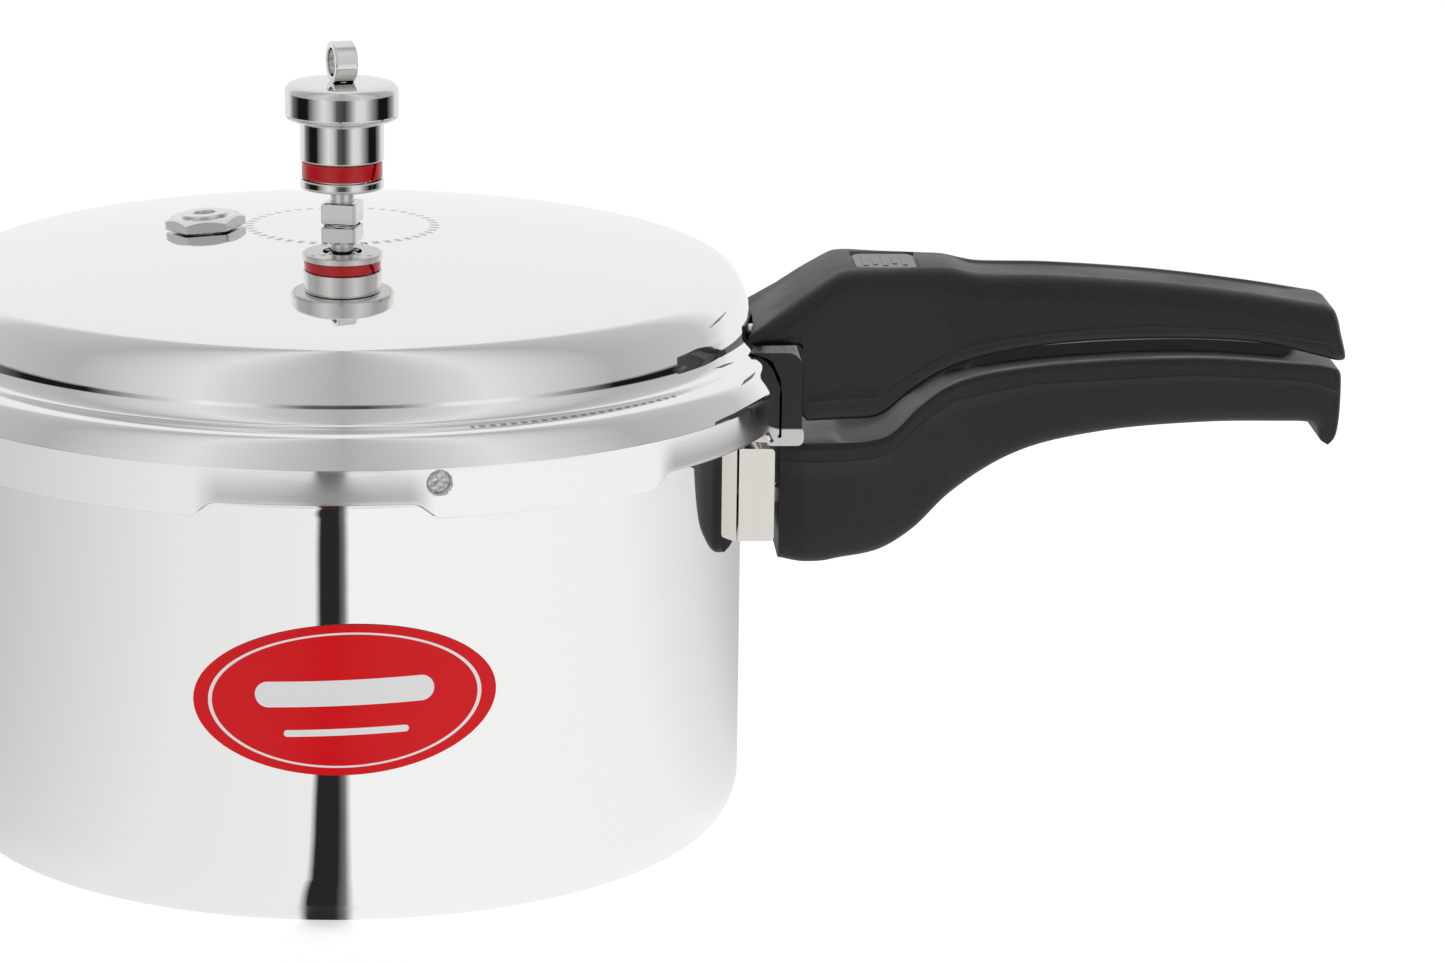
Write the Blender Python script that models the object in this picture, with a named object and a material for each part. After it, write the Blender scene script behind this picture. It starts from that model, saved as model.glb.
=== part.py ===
# Stovetop pressure cooker: pressed aluminium pot and outer lid, bayonet lugs, two handles,
# a vent with its weight and a safety plug. Metres, +Z up, origin at the centre of the base.
# The handles point along +X. Azimuths are measured from -Y towards +X.
import math

import bmesh
import bpy
from mathutils import Matrix, Vector

# driving dimensions, metres
POT_RADIUS = 0.097
POT_WALL = 0.003
BASE_THICKNESS = 0.0045
BASE_CORNER = 0.013
BRIM_HEIGHT = 0.1145
COLLAR_RADIUS = 0.100
LUG_COUNT = 6
POT_LUG_RADIUS = 0.1043
POT_LUG_BOTTOM = 0.105
POT_LUG_TOP = 0.109
POT_LUG_CENTRE = 27.5
POT_LUG_HALF = 11.0

CROWN_HEIGHT = 0.1477
DOME_EDGE_RADIUS = 0.090
DOME_EDGE_HEIGHT = 0.1389
LID_SHEET = 0.0024
SKIRT_RADIUS = 0.108
SKIRT_INNER = 0.1054
SKIRT_GAP_HEIGHT = 0.1045
SKIRT_LUG_HEIGHT = 0.1010
LID_LUG_INNER = 0.1013
LID_LUG_THICKNESS = 0.0032
LID_GAP_HALF = 13.0
VENT_HOLE_RADIUS = 0.0044

CLEARANCE = 0.0003
SECTOR = 360.0 / LUG_COUNT

STOP_AZIMUTH = 14.0
STOP_HEIGHT = 0.1095
LID_RIVET_HEIGHT = 0.1232
RIVET_OFFSET = 0.008
BODY_RIVET_HEIGHT = 0.0845
LID_RIVET_BORE = 0.0019
BODY_RIVET_BORE = 0.0027
LID_SCREW_X = 0.123
BODY_SCREW_X = 0.125
SCREW_BORE = 0.0027
INSERT_BORE = 0.0043

WEIGHT_BASE = 0.1565
PLUG_X = -0.0328
VENT_SQUARE = 0.0086
VENT_SQUARE_TURN = -13.6
LOOP_TURN = 16.4
RING_SPLIT = 60.0
HANDLE_END = 0.2445
LABEL_AZIMUTH = 2.3
LABEL_HEIGHT = 0.0564
LABEL_HALF_WIDTH = 0.0352
LABEL_HALF_HEIGHT = 0.0178
LABEL_TILT = 2.3
LABEL_STEPS = 32


def clear_scene():
    for item in list(bpy.data.objects):
        bpy.data.objects.remove(item, do_unlink=True)


def material(name, colour, roughness, metallic):
    made = bpy.data.materials.get(name) or bpy.data.materials.new(name)
    made.use_nodes = True
    shader = made.node_tree.nodes["Principled BSDF"]
    shader.inputs["Base Color"].default_value = (*colour, 1.0)
    shader.inputs["Roughness"].default_value = roughness
    shader.inputs["Metallic"].default_value = metallic
    return made


LOOKS = {
    "polished_aluminium": ((0.82, 0.82, 0.83), 0.12, 1.0),
    "polished_steel": ((0.66, 0.65, 0.63), 0.18, 1.0),
    "plated_steel": ((0.58, 0.58, 0.60), 0.30, 1.0),
    "brass": ((0.72, 0.52, 0.22), 0.30, 1.0),
    "black_phenolic": ((0.018, 0.018, 0.019), 0.45, 0.0),
    "red_plastic": ((0.62, 0.01, 0.02), 0.25, 0.0),
    "red_label": ((0.78, 0.01, 0.02), 0.35, 0.0),
    "grey_rubber": ((0.22, 0.22, 0.23), 0.70, 0.0),
    "fusible_alloy": ((0.42, 0.42, 0.44), 0.55, 1.0),
    "silver_badge": ((0.70, 0.70, 0.71), 0.25, 1.0),
}


def add_object(name, bm, look, smooth_angle=35.0):
    bmesh.ops.remove_doubles(bm, verts=bm.verts, dist=1e-6)
    bmesh.ops.recalc_face_normals(bm, faces=bm.faces)
    mesh = bpy.data.meshes.new(name)
    bm.to_mesh(mesh)
    bm.free()
    mesh.shade_smooth()
    mesh.set_sharp_from_angle(angle=math.radians(smooth_angle))
    mesh.materials.append(material(look, *LOOKS[look]))
    made = bpy.data.objects.new(name, mesh)
    bpy.context.collection.objects.link(made)
    return made


def polar(radius, azimuth, height):
    turn = math.radians(azimuth)
    return Vector((radius * math.sin(turn), -radius * math.cos(turn), height))


def loop_solid(loops):
    """Closed rings of points, joined each to the next and the last to the first."""
    bm = bmesh.new()
    rings = [[bm.verts.new(point) for point in loop] for loop in loops]
    count = len(rings[0])
    for index, ring in enumerate(rings):
        following = rings[(index + 1) % len(rings)]
        for place in range(count):
            after = (place + 1) % count
            bm.faces.new((ring[place], ring[after], following[after], following[place]))
    return bm


def turned(profile, steps=32, ring=False):
    """Body of revolution about Z from (radius, height) points."""
    bm = bmesh.new()
    verts = [bm.verts.new((radius, 0.0, height)) for radius, height in profile]
    pairs = list(zip(verts, verts[1:]))
    if ring:
        pairs.append((verts[-1], verts[0]))
    edges = [bm.edges.new(pair) for pair in pairs]
    bmesh.ops.spin(bm, geom=verts + edges, cent=(0, 0, 0), axis=(0, 0, 1),
                   angle=math.tau, steps=steps, use_merge=True)
    bmesh.ops.remove_doubles(bm, verts=bm.verts, dist=1e-7)
    return bm


def slab(outline, low, high, axis="y"):
    """Flat outline given thickness along one axis. The outline is in the other two axes."""
    bm = bmesh.new()

    def at(point, level):
        if axis == "y":
            return (point[0], level, point[1])
        return (point[0], point[1], level)

    bottom = [bm.verts.new(at(point, low)) for point in outline]
    top = [bm.verts.new(at(point, high)) for point in outline]
    bm.faces.new(bottom)
    bm.faces.new(list(reversed(top)))
    count = len(outline)
    for place in range(count):
        after = (place + 1) % count
        bm.faces.new((bottom[after], bottom[place], top[place], top[after]))
    bmesh.ops.recalc_face_normals(bm, faces=bm.faces)
    return bm


def block(low, high):
    outline = [(low[0], low[1]), (high[0], low[1]), (high[0], high[1]), (low[0], high[1])]
    return slab(outline, low[2], high[2], axis="z")


def moved(bm, matrix):
    bmesh.ops.transform(bm, matrix=matrix, verts=bm.verts)
    return bm


def along_x(bm, start):
    """Turn a body made along Z so that it runs along +X from the start point."""
    return moved(bm, Matrix.Translation(start) @ Matrix.Rotation(math.radians(90), 4, "Y"))


def round_bar(radius, length, steps=24):
    return turned([(0, 0), (radius, 0), (radius, length), (0, length)], steps)


def arc(centre, radius, start, end, steps):
    """Points of a circular arc in a profile, angles in degrees from the first axis."""
    points = []
    for step in range(steps + 1):
        turn = math.radians(start + (end - start) * step / steps)
        points.append((centre[0] + radius * math.cos(turn), centre[1] + radius * math.sin(turn)))
    return points


def curve_through(points, steps=4):
    """Catmull-Rom curve through the points, end points included."""
    padded = [points[0], *points, points[-1]]
    result = []
    for index in range(1, len(padded) - 2):
        p0, p1, p2, p3 = [Vector(point) for point in padded[index - 1:index + 3]]
        for step in range(steps):
            t = step / steps
            at = 0.5 * (2 * p1 + (p2 - p0) * t + (2 * p0 - 5 * p1 + 4 * p2 - p3) * t * t
                        + (3 * p1 - p0 - 3 * p2 + p3) * t * t * t)
            result.append(tuple(at))
    result.append(tuple(points[-1]))
    return result


def cut(target, name, bm, operation="DIFFERENCE"):
    """Give the target a Boolean modifier whose cutter stays in the scene, hidden from renders."""
    mesh = bpy.data.meshes.new(name)
    bmesh.ops.recalc_face_normals(bm, faces=bm.faces)
    bm.to_mesh(mesh)
    bm.free()
    cutter = bpy.data.objects.new(name, mesh)
    bpy.context.collection.objects.link(cutter)
    cutter.hide_render = True
    cutter.display_type = "WIRE"
    modifier = target.modifiers.new(name, "BOOLEAN")
    modifier.operation = operation
    modifier.solver = "EXACT"
    modifier.object = cutter


def sector_azimuths(offsets):
    return [lug * SECTOR + offset for lug in range(LUG_COUNT) for offset in offsets]


def pot_body():
    inner = POT_RADIUS - POT_WALL
    corner = arc((POT_RADIUS - BASE_CORNER, BASE_CORNER), BASE_CORNER, -90, 0, 5)
    inside_corner = arc((inner - 0.011, BASE_THICKNESS + 0.011), 0.011, 0, -90, 3)
    lug_span = 2 * POT_LUG_HALF
    offsets = [0, 1, 6, 11, 16, lug_span - 1, lug_span]
    offsets += [lug_span + (SECTOR - lug_span) * step / 7 for step in range(1, 7)]
    start = POT_LUG_CENTRE - POT_LUG_HALF
    loops = []
    for azimuth in sector_azimuths([start + offset for offset in offsets]):
        within = (azimuth - start) % SECTOR
        reach = POT_LUG_RADIUS if 0.5 < within < lug_span - 0.5 else COLLAR_RADIUS
        profile = [
            (0.040, 0.0),
            *corner,
            (POT_RADIUS, 0.060),
            (POT_RADIUS, 0.101),
            (COLLAR_RADIUS, 0.1035),
            (COLLAR_RADIUS, POT_LUG_BOTTOM),
            (reach, POT_LUG_BOTTOM + 0.0002),
            (reach, POT_LUG_TOP - 0.0002),
            (COLLAR_RADIUS, POT_LUG_TOP),
            (COLLAR_RADIUS, BRIM_HEIGHT - 0.0007),
            (COLLAR_RADIUS - 0.0007, BRIM_HEIGHT),
            (inner + 0.0007, BRIM_HEIGHT),
            (inner, BRIM_HEIGHT - 0.0007),
            (inner, 0.060),
            *inside_corner,
            (0.040, BASE_THICKNESS),
        ]
        loops.append([polar(radius, azimuth, height) for radius, height in profile])
    bm = bmesh.new()
    rings = [[bm.verts.new(point) for point in loop] for loop in loops]
    for index, ring in enumerate(rings):
        following = rings[(index + 1) % len(rings)]
        for place in range(len(ring) - 1):
            bm.faces.new((ring[place], ring[place + 1], following[place + 1], following[place]))
    bm.faces.new([ring[0] for ring in rings])
    bm.faces.new([ring[-1] for ring in reversed(rings)])
    pot = add_object("pot_body", bm, "polished_aluminium")
    for index, side in enumerate((-1, 1)):
        bore = along_x(round_bar(BODY_RIVET_BORE, 0.012), (0.090, side * RIVET_OFFSET, BODY_RIVET_HEIGHT))
        cut(pot, f"pot_rivet_bore_{index + 1}", bore)
    return pot


def dome_sphere():
    """Radius of the sphere that the dome is a cap of."""
    rise = CROWN_HEIGHT - DOME_EDGE_HEIGHT
    return (DOME_EDGE_RADIUS ** 2 + rise ** 2) / (2 * rise)


def dome_height(radius, drop=0.0):
    sphere = dome_sphere()
    return CROWN_HEIGHT - sphere + math.sqrt(sphere ** 2 - radius ** 2) - drop


def lid_profile(lug):
    """Section of the lid. lug is 1 where the skirt carries a lug and 0 in a gap."""
    bottom = SKIRT_GAP_HEIGHT + (SKIRT_LUG_HEIGHT - SKIRT_GAP_HEIGHT) * lug
    lip = SKIRT_INNER + (LID_LUG_INNER - SKIRT_INNER) * lug
    rise = LID_LUG_THICKNESS * lug
    outer = [(radius, dome_height(radius)) for radius in (VENT_HOLE_RADIUS, 0.030, 0.062)]
    outer += [(DOME_EDGE_RADIUS, DOME_EDGE_HEIGHT)]
    outer += [(0.0934, 0.1374), (0.0963, 0.1342), (0.0980, 0.1302), (0.0986, 0.1260)]
    outer += [(0.0988, 0.1234), (0.1002, 0.1213), (0.1046, 0.1198)]
    outer += [(0.1057, 0.1190), (0.1065, 0.1172), (0.1076, 0.1148), (SKIRT_RADIUS, 0.1110)]
    edge = [
        (SKIRT_RADIUS, bottom + 0.0010),
        (SKIRT_RADIUS - 0.0010, bottom),
        (lip + 0.0004, bottom),
        (lip, bottom + 0.0004),
        (lip, bottom + 0.0006 + rise * 0.8),
        (SKIRT_INNER - 0.0002 * lug, bottom + 0.0008 + rise),
    ]
    inner = [(SKIRT_INNER, 0.1120), (SKIRT_INNER, 0.1172), (0.0972, 0.1172), (0.0963, 0.1182)]
    inner += [(0.0961, 0.1240), (0.0956, 0.1295), (0.0941, 0.1326), (0.0915, 0.1350)]
    inner += [(radius, dome_height(radius, LID_SHEET)) for radius in (0.0885, 0.060, 0.030)]
    inner += [(VENT_HOLE_RADIUS, dome_height(VENT_HOLE_RADIUS, LID_SHEET))]
    return outer + edge + inner


def lid_shell():
    offsets = [-13, -11, -5.5, 0, 5.5, 11, 13]
    lug_span = SECTOR - 2 * LID_GAP_HALF
    offsets += [LID_GAP_HALF + lug_span * step / 6 for step in range(1, 6)]
    loops = []
    for azimuth in sector_azimuths(offsets):
        within = (azimuth + SECTOR / 2) % SECTOR - SECTOR / 2
        lug = 0.0 if abs(within) < LID_GAP_HALF - 1 else 1.0
        loops.append([polar(radius, azimuth, height) for radius, height in lid_profile(lug)])
    lid = add_object("lid_shell", loop_solid(loops), "polished_aluminium")
    cut(lid, "stop_rivet_bore", stop_rivet_frame(round_bar(0.0030, 0.006), 0.104))
    plug = moved(round_bar(0.0058, 0.010), plug_frame() @ Matrix.Translation((0, 0, -0.006)))
    cut(lid, "plug_bore", plug)
    for index, side in enumerate((-1, 1)):
        bore = along_x(round_bar(LID_RIVET_BORE, 0.010), (0.091, side * RIVET_OFFSET, LID_RIVET_HEIGHT))
        cut(lid, f"lid_rivet_bore_{index + 1}", bore)
    return lid


def stop_rivet_frame(bm, radius):
    """Lay a body made along Z on the radial line of the stop rivet, from this radius outwards."""
    turn = Matrix.Rotation(math.radians(STOP_AZIMUTH - 90), 4, "Z")
    lay = Matrix.Translation((radius, 0, STOP_HEIGHT)) @ Matrix.Rotation(math.radians(90), 4, "Y")
    return moved(bm, turn @ lay)


def stop_rivet():
    profile = [(0, 0), (0.0030, 0), (0.0034, 0.0004), (0.0034, 0.0034), (0.0027, 0.0034)]
    profile += [(0.0027, 0.0056), (0.0023, 0.0060), (0, 0.0060)]
    bm = stop_rivet_frame(turned(profile, 24), SKIRT_INNER - CLEARANCE - 0.0034)
    return add_object("stop_rivet", bm, "polished_aluminium")


def lid_gasket():
    profile = [(0.0926, 0.1150), (0.0926, 0.1163), (0.0940, 0.1169), (0.1051, 0.1169)]
    profile += [(0.1051, 0.1152), (0.1040, 0.1148), (0.0940, 0.1148)]
    return add_object("lid_gasket", turned(profile, 60, ring=True), "grey_rubber")


def lid_bracket():
    nose = [(0.1010, 0.1215), (0.1010, 0.0995), *arc((0.1030, 0.1001), 0.0015, 200, 270, 3)]
    nose += [(0.1085, 0.0986), *arc((0.1085, 0.1006), 0.0020, -60, 0, 3), (0.1100, 0.1040)]
    nose += arc((0.1063, 0.1178), 0.0037, 0, 90, 5)
    bm = slab(nose, -0.026, 0.026)
    bracket = add_object("lid_bracket", bm, "polished_steel")
    tongue = block((0.1080, -0.008, 0.1080), (0.1330, 0.008, 0.1110))
    cut(bracket, "bracket_tongue_lid", tongue, "UNION")
    tab = slab([(0.0975, -0.014), (0.1012, -0.014), (0.1012, 0.014), (0.0975, 0.014)],
               0.1208, 0.1256, axis="z")
    cut(bracket, "bracket_tab_lid", tab, "UNION")
    gap = CLEARANCE
    path = [(0.080, 0.090), (0.1012, 0.090), (0.1012, SKIRT_LUG_HEIGHT - gap)]
    path += [(SKIRT_RADIUS + gap, SKIRT_LUG_HEIGHT - gap), (SKIRT_RADIUS + gap, 0.1112)]
    path += [(0.1079, 0.1150), (0.1068, 0.1175), (0.1060, 0.1193), (0.1048, 0.1201)]
    path += [(0.1027, 0.1207), (0.1005, 0.1215), (0.0993, 0.1230), (0.0990, 0.1236)]
    path += [(0.0989, 0.1260), (0.0983, 0.1305), (0.0970, 0.1336), (0.080, 0.1336)]
    cut(bracket, "bracket_skirt_space", turned(path, 96, ring=True))
    upright = Matrix.Translation((LID_SCREW_X, 0, 0.105))
    cut(bracket, "bracket_screw_bore", moved(round_bar(SCREW_BORE, 0.010), upright))
    for index, side in enumerate((-1, 1)):
        bore = along_x(round_bar(LID_RIVET_BORE, 0.010), (0.095, side * RIVET_OFFSET, LID_RIVET_HEIGHT))
        cut(bracket, f"bracket_rivet_bore_{index + 1}", bore)
    return bracket


def body_bracket():
    reach = POT_RADIUS + CLEARANCE
    half = 0.018
    limit = math.degrees(math.asin(half / reach))
    plan = [tuple(polar(reach, 90 + limit * step / 6, 0.0)[:2]) for step in range(-6, 7)]
    plan += [(0.1042, half), (0.1042, -half)]
    bracket = add_object("body_bracket", slab(plan, 0.0730, 0.0960, axis="z"), "polished_steel")
    tongue = block((0.1000, -0.007, 0.0800), (0.1370, 0.007, 0.0840))
    cut(bracket, "bracket_tongue_body", tongue, "UNION")
    upright = Matrix.Translation((BODY_SCREW_X, 0, 0.077))
    cut(bracket, "body_screw_bore", moved(round_bar(SCREW_BORE, 0.010), upright))
    for index, side in enumerate((-1, 1)):
        start = (0.095, side * RIVET_OFFSET, BODY_RIVET_HEIGHT)
        cut(bracket, f"body_bracket_bore_{index + 1}", along_x(round_bar(BODY_RIVET_BORE, 0.0065), start))
    return bracket


def radial_rivet(name, head_start, height, shank, head, length):
    """Rivet along X: a low head inside the vessel, then the shank outwards."""
    profile = [(0, 0), (head * 0.6, 0), (head, 0.0007), (head, 0.0013), (shank, 0.0013)]
    profile += [(shank, length), (0, length)]
    for index, side in enumerate((-1, 1)):
        bm = along_x(turned(profile, 20), (head_start, side * RIVET_OFFSET, height))
        add_object(f"{name}_{index + 1}", bm, "plated_steel")


LID_HANDLE_TOP = [
    (0.1470, 0.1389), (0.1540, 0.1373), (0.1700, 0.1370), (0.1960, 0.1354),
    (0.2220, 0.1323), (0.2385, 0.1297),
]
LID_HANDLE_END = [(0.2385, 0.1297), (0.2410, 0.1286), (0.2428, 0.1240), (HANDLE_END, 0.1178)]
LID_HANDLE_UNDER = [
    (HANDLE_END, 0.1163), (0.2410, 0.1166), (0.2220, 0.1209), (0.1950, 0.1219), (0.1680, 0.1200),
    (0.1490, 0.1156), (0.1380, 0.1096), (0.1320, 0.1048), (0.1285, 0.1030),
]
LID_HANDLE_NOTCH = [(0.1106, 0.1030), (0.1106, 0.1205), (0.1094, 0.1217), (0.0940, 0.1217)]

BODY_HANDLE_TOP = [
    (0.1285, 0.0972), (0.1325, 0.0986), (0.1400, 0.1056), (0.1480, 0.1104), (0.1670, 0.1142),
    (0.2060, 0.1164), (0.2380, 0.1148), (0.2425, 0.1133),
]
BODY_HANDLE_HOOK = [
    (0.2430, 0.1086), (0.2423, 0.0998), (0.2415, 0.0970), (0.2395, 0.0957), (0.2380, 0.0965),
    (0.2368, 0.0997), (0.2340, 0.1010),
]
BODY_HANDLE_UNDER = [
    (0.2340, 0.1010), (0.2100, 0.1008), (0.1843, 0.0985), (0.1645, 0.0937), (0.1478, 0.0838),
    (0.1380, 0.0748), (0.1300, 0.0703), (0.1200, 0.0686),
]


def blend(value, start, end, first, last):
    """Ease from first to last while the value goes from start to end."""
    t = min(max((value - start) / (end - start), 0.0), 1.0)
    return first + (last - first) * t * t * (3 - 2 * t)


def lid_handle_half(x):
    return blend(x, 0.100, 0.150, 0.0205, 0.0130)


def body_handle_half(x):
    flare = blend(x, 0.1050, 0.1120, 0.0160, 0.0190)
    return flare + blend(x, 0.120, 0.160, 0.0, -0.0062)


def handle_solid(outline, half_at, rounding):
    """Side outline given its width, with the long edges rounded."""
    bm = slab(outline, -1.0, 1.0)
    edges = [edge for edge in bm.edges if edge.verts[0].co.y * edge.verts[1].co.y > 0]
    for vert in bm.verts:
        vert.co.y *= half_at(vert.co.x)
    bmesh.ops.bevel(bm, geom=edges, offset=rounding, segments=3, profile=0.5,
                    affect="EDGES", clamp_overlap=True)
    return bm


def lid_handle():
    outline = [(0.0940, 0.1220), (0.1175, 0.1378), (0.1190, 0.1385), (0.1215, 0.1390)]
    outline += curve_through(LID_HANDLE_TOP, 3)[:-1]
    outline += curve_through(LID_HANDLE_END, 3)[:-1]
    outline += [(HANDLE_END, 0.1178)]
    outline += curve_through(LID_HANDLE_UNDER, 3)
    outline += LID_HANDLE_NOTCH
    handle = add_object("lid_handle", handle_solid(outline, lid_handle_half, 0.0030), "black_phenolic")
    root_space = moved(round_bar(0.1004, 0.030, 96), Matrix.Translation((0, 0, 0.118)))
    cut(handle, "handle_root_space", root_space)
    cut(handle, "handle_tab_pocket", block((0.095, -0.0155, 0.118), (0.1032, 0.0155, 0.1259)))
    cut(handle, "handle_tongue_pocket", block((0.108, -0.009, 0.100), (0.135, 0.009, 0.1113)))
    upright = Matrix.Translation((LID_SCREW_X, 0, 0.110))
    cut(handle, "handle_insert_bore", moved(round_bar(INSERT_BORE, 0.012), upright))
    cut(handle, "badge_recess", block((0.1234, -0.0112, 0.1381), (0.1392, 0.0112, 0.145)))
    return handle


def body_handle():
    outline = [(0.1055, 0.0966)]
    outline += curve_through(BODY_HANDLE_TOP, 3)
    outline += curve_through(BODY_HANDLE_HOOK, 2)[:-1]
    outline += curve_through(BODY_HANDLE_UNDER, 3)
    outline += [(0.1180, 0.0677), (0.1062, 0.0675), (0.1053, 0.0684)]
    handle = add_object("body_handle", handle_solid(outline, body_handle_half, 0.0030), "black_phenolic")
    cut(handle, "body_tongue_pocket", block((0.100, -0.0075, 0.060), (0.139, 0.0075, 0.0845)))
    upright = Matrix.Translation((BODY_SCREW_X, 0, 0.083))
    cut(handle, "body_insert_bore", moved(round_bar(INSERT_BORE, 0.012), upright))
    return handle


def screw_set(name, x, tongue_bottom, tongue_top):
    """Pan-head screw from below through the bracket's tongue into a brass insert."""
    washer_top = tongue_bottom - CLEARANCE
    washer_bottom = washer_top - 0.0011
    head_top = washer_bottom - CLEARANCE
    head_bottom = head_top - 0.0028
    tip = tongue_top + 0.0095
    head = [(0, head_bottom + 0.0012), (0.0008, head_bottom + 0.0012), (0.0008, head_bottom)]
    head += [(0.0032, head_bottom), (0.0044, head_bottom + 0.0009), (0.0044, head_top)]
    head += [(0.0024, head_top), (0.0024, tip), (0, tip)]
    place = Matrix.Translation((x, 0, 0))
    add_object(f"{name}_screw", moved(turned(head, 24), place), "plated_steel")
    washer = [(0.0027, washer_bottom), (0.0056, washer_bottom), (0.0056, washer_top), (0.0027, washer_top)]
    add_object(f"{name}_washer", moved(turned(washer, 24, ring=True), place), "plated_steel")
    low = tongue_top + CLEARANCE + 0.0002
    insert = [(0.0027, low), (0.0040, low), (0.0040, low + 0.0095), (0.0027, low + 0.0095)]
    add_object(f"{name}_insert", moved(turned(insert, 24, ring=True), place), "brass")


def handle_badge():
    outline = [(0.1238, -0.0085), *arc((0.1264, -0.0082), 0.0026, 180, 270, 3)]
    outline += [*arc((0.1362, -0.0082), 0.0026, 270, 360, 3), *arc((0.1362, 0.0082), 0.0026, 0, 90, 3)]
    outline += [*arc((0.1264, 0.0082), 0.0026, 90, 180, 3)]
    bm = slab(outline, 0.1384, 0.1389, axis="z")
    return add_object("handle_badge", bm, "silver_badge")


def hexagon(across_flats, start=0.0):
    radius = across_flats / math.sqrt(3)
    return [(radius * math.cos(math.radians(start + 60 * side)),
             radius * math.sin(math.radians(start + 60 * side))) for side in range(6)]


def hex_nut(name, across_flats, bore, low, high, look, place):
    made = add_object(name, moved(slab(hexagon(across_flats), low, high, axis="z"), place), look)
    cut(made, f"{name}_bore", moved(round_bar(bore, high - low + 0.002),
                                    place @ Matrix.Translation((0, 0, low - 0.001))))
    return made


def quarter_turns(start):
    return [Matrix.Rotation(math.radians(start + 90 * side), 2) for side in range(4)]


def vent():
    top = CROWN_HEIGHT + CLEARANCE
    under = CROWN_HEIGHT - LID_SHEET
    profile = [(0.0012, 0.1375), (0.0036, 0.1375), (0.0040, 0.1380), (0.0040, top + 0.0020)]
    profile += [(0.0029, top + 0.0040), (0.0029, 0.1622), (0.0021, 0.1630), (0.0012, 0.1630)]
    tube = add_object("vent_tube", turned(profile, 24, ring=True), "plated_steel")
    half = VENT_SQUARE / 2
    corner = 0.0014
    square = [(half, half - corner), (half - corner, half)]
    outline = [turn @ Vector(point) for turn in quarter_turns(VENT_SQUARE_TURN) for point in square]
    head = slab([tuple(point) for point in outline], top, top + 0.0051, axis="z")
    rim = [edge for edge in head.edges if min(vert.co.z for vert in edge.verts) > top + 0.005]
    bmesh.ops.bevel(head, geom=rim, offset=0.0004, segments=1, affect="EDGES")
    cut(tube, "vent_square", head, "UNION")
    cut(tube, "vent_bore", moved(round_bar(0.0012, 0.030), Matrix.Translation((0, 0, 0.136))))
    washer = [(0.0043, under - 0.0015), (0.0085, under - 0.0015), (0.0085, under - CLEARANCE)]
    washer += [(0.0043, under - CLEARANCE)]
    add_object("vent_washer", turned(washer, 24, ring=True), "plated_steel")
    hex_nut("vent_nut", 0.0125, 0.0043, under - 0.0058, under - 0.0018, "plated_steel", Matrix())


def plug_frame():
    """Frame of the safety plug: on the dome, square to its surface."""
    lean = math.asin(-PLUG_X / dome_sphere())
    return Matrix.Translation((PLUG_X, 0, dome_height(-PLUG_X))) @ Matrix.Rotation(-lean, 4, "Y")


def safety_plug():
    place = plug_frame()
    gap = CLEARANCE
    hexagon_part = slab(hexagon(0.0168, 3), gap, 0.0032, axis="z")
    rim = [edge for edge in hexagon_part.edges
           if min(vert.co.z for vert in edge.verts) > 0.003]
    bmesh.ops.bevel(hexagon_part, geom=rim, offset=0.0006, segments=2, affect="EDGES")
    plug = add_object("safety_plug_body", moved(hexagon_part, place), "plated_steel")
    boss = turned([(0, 0.001), (0.0056, 0.001), (0.0056, 0.0036), (0.0052, 0.0039), (0, 0.0039)], 36)
    cut(plug, "plug_boss", moved(boss, place), "UNION")
    shank = turned([(0, -0.0085), (0.0050, -0.0085), (0.0055, -0.0080), (0.0055, 0.001), (0, 0.001)], 36)
    cut(plug, "plug_shank", moved(shank, place), "UNION")
    bore = moved(round_bar(0.0026, 0.020), place @ Matrix.Translation((0, 0, -0.012)))
    cut(plug, "plug_slug_bore", bore)
    slug = turned([(0, -0.0080), (0.0023, -0.0080), (0.0023, 0.0030), (0.0012, 0.0034), (0, 0.0034)], 24)
    add_object("safety_plug_slug", moved(slug, place), "fusible_alloy")
    washer = [(0.0058, -0.0041), (0.0095, -0.0041), (0.0095, -0.0029), (0.0058, -0.0029)]
    add_object("safety_plug_washer", moved(turned(washer, 24, ring=True), place), "plated_steel")
    hex_nut("safety_plug_nut", 0.0168, 0.0058, -0.0078, -0.0044, "plated_steel", place)


def weight_body():
    base = WEIGHT_BASE
    profile = [(0.0049, base), (0.0096, base), (0.0101, base + 0.0005), (0.0101, base + 0.0024)]
    profile += [(0.0084, base + 0.0024), (0.0084, base + 0.0074), (0.0101, base + 0.0074)]
    profile += [(0.0101, base + 0.0165), (0.0060, base + 0.0165), (0.0060, base + 0.0216)]
    profile += [(0, base + 0.0216), (0, base + 0.0158), (0.0031, base + 0.0158)]
    profile += [(0.0031, base + 0.0080), (0.0049, base + 0.0070)]
    bm = turned(profile, 32, ring=True)
    return add_object("weight_body", bm, "polished_steel")


def weight_ring():
    low = WEIGHT_BASE + 0.0027
    high = WEIGHT_BASE + 0.0071
    split = 2.0
    bm = bmesh.new()
    section = [(0.0087, low), (0.0097, low), (0.0097, high), (0.0087, high)]
    azimuths = [RING_SPLIT + split + (360 - 2 * split) * step / 32 for step in range(33)]
    rings = [[bm.verts.new(polar(radius, azimuth, height)) for radius, height in section]
             for azimuth in azimuths]
    for ring, following in zip(rings, rings[1:]):
        for place in range(4):
            after = (place + 1) % 4
            bm.faces.new((ring[place], ring[after], following[after], following[place]))
    bm.faces.new(rings[0])
    bm.faces.new(list(reversed(rings[-1])))
    return add_object("weight_ring", bm, "red_plastic")


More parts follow.
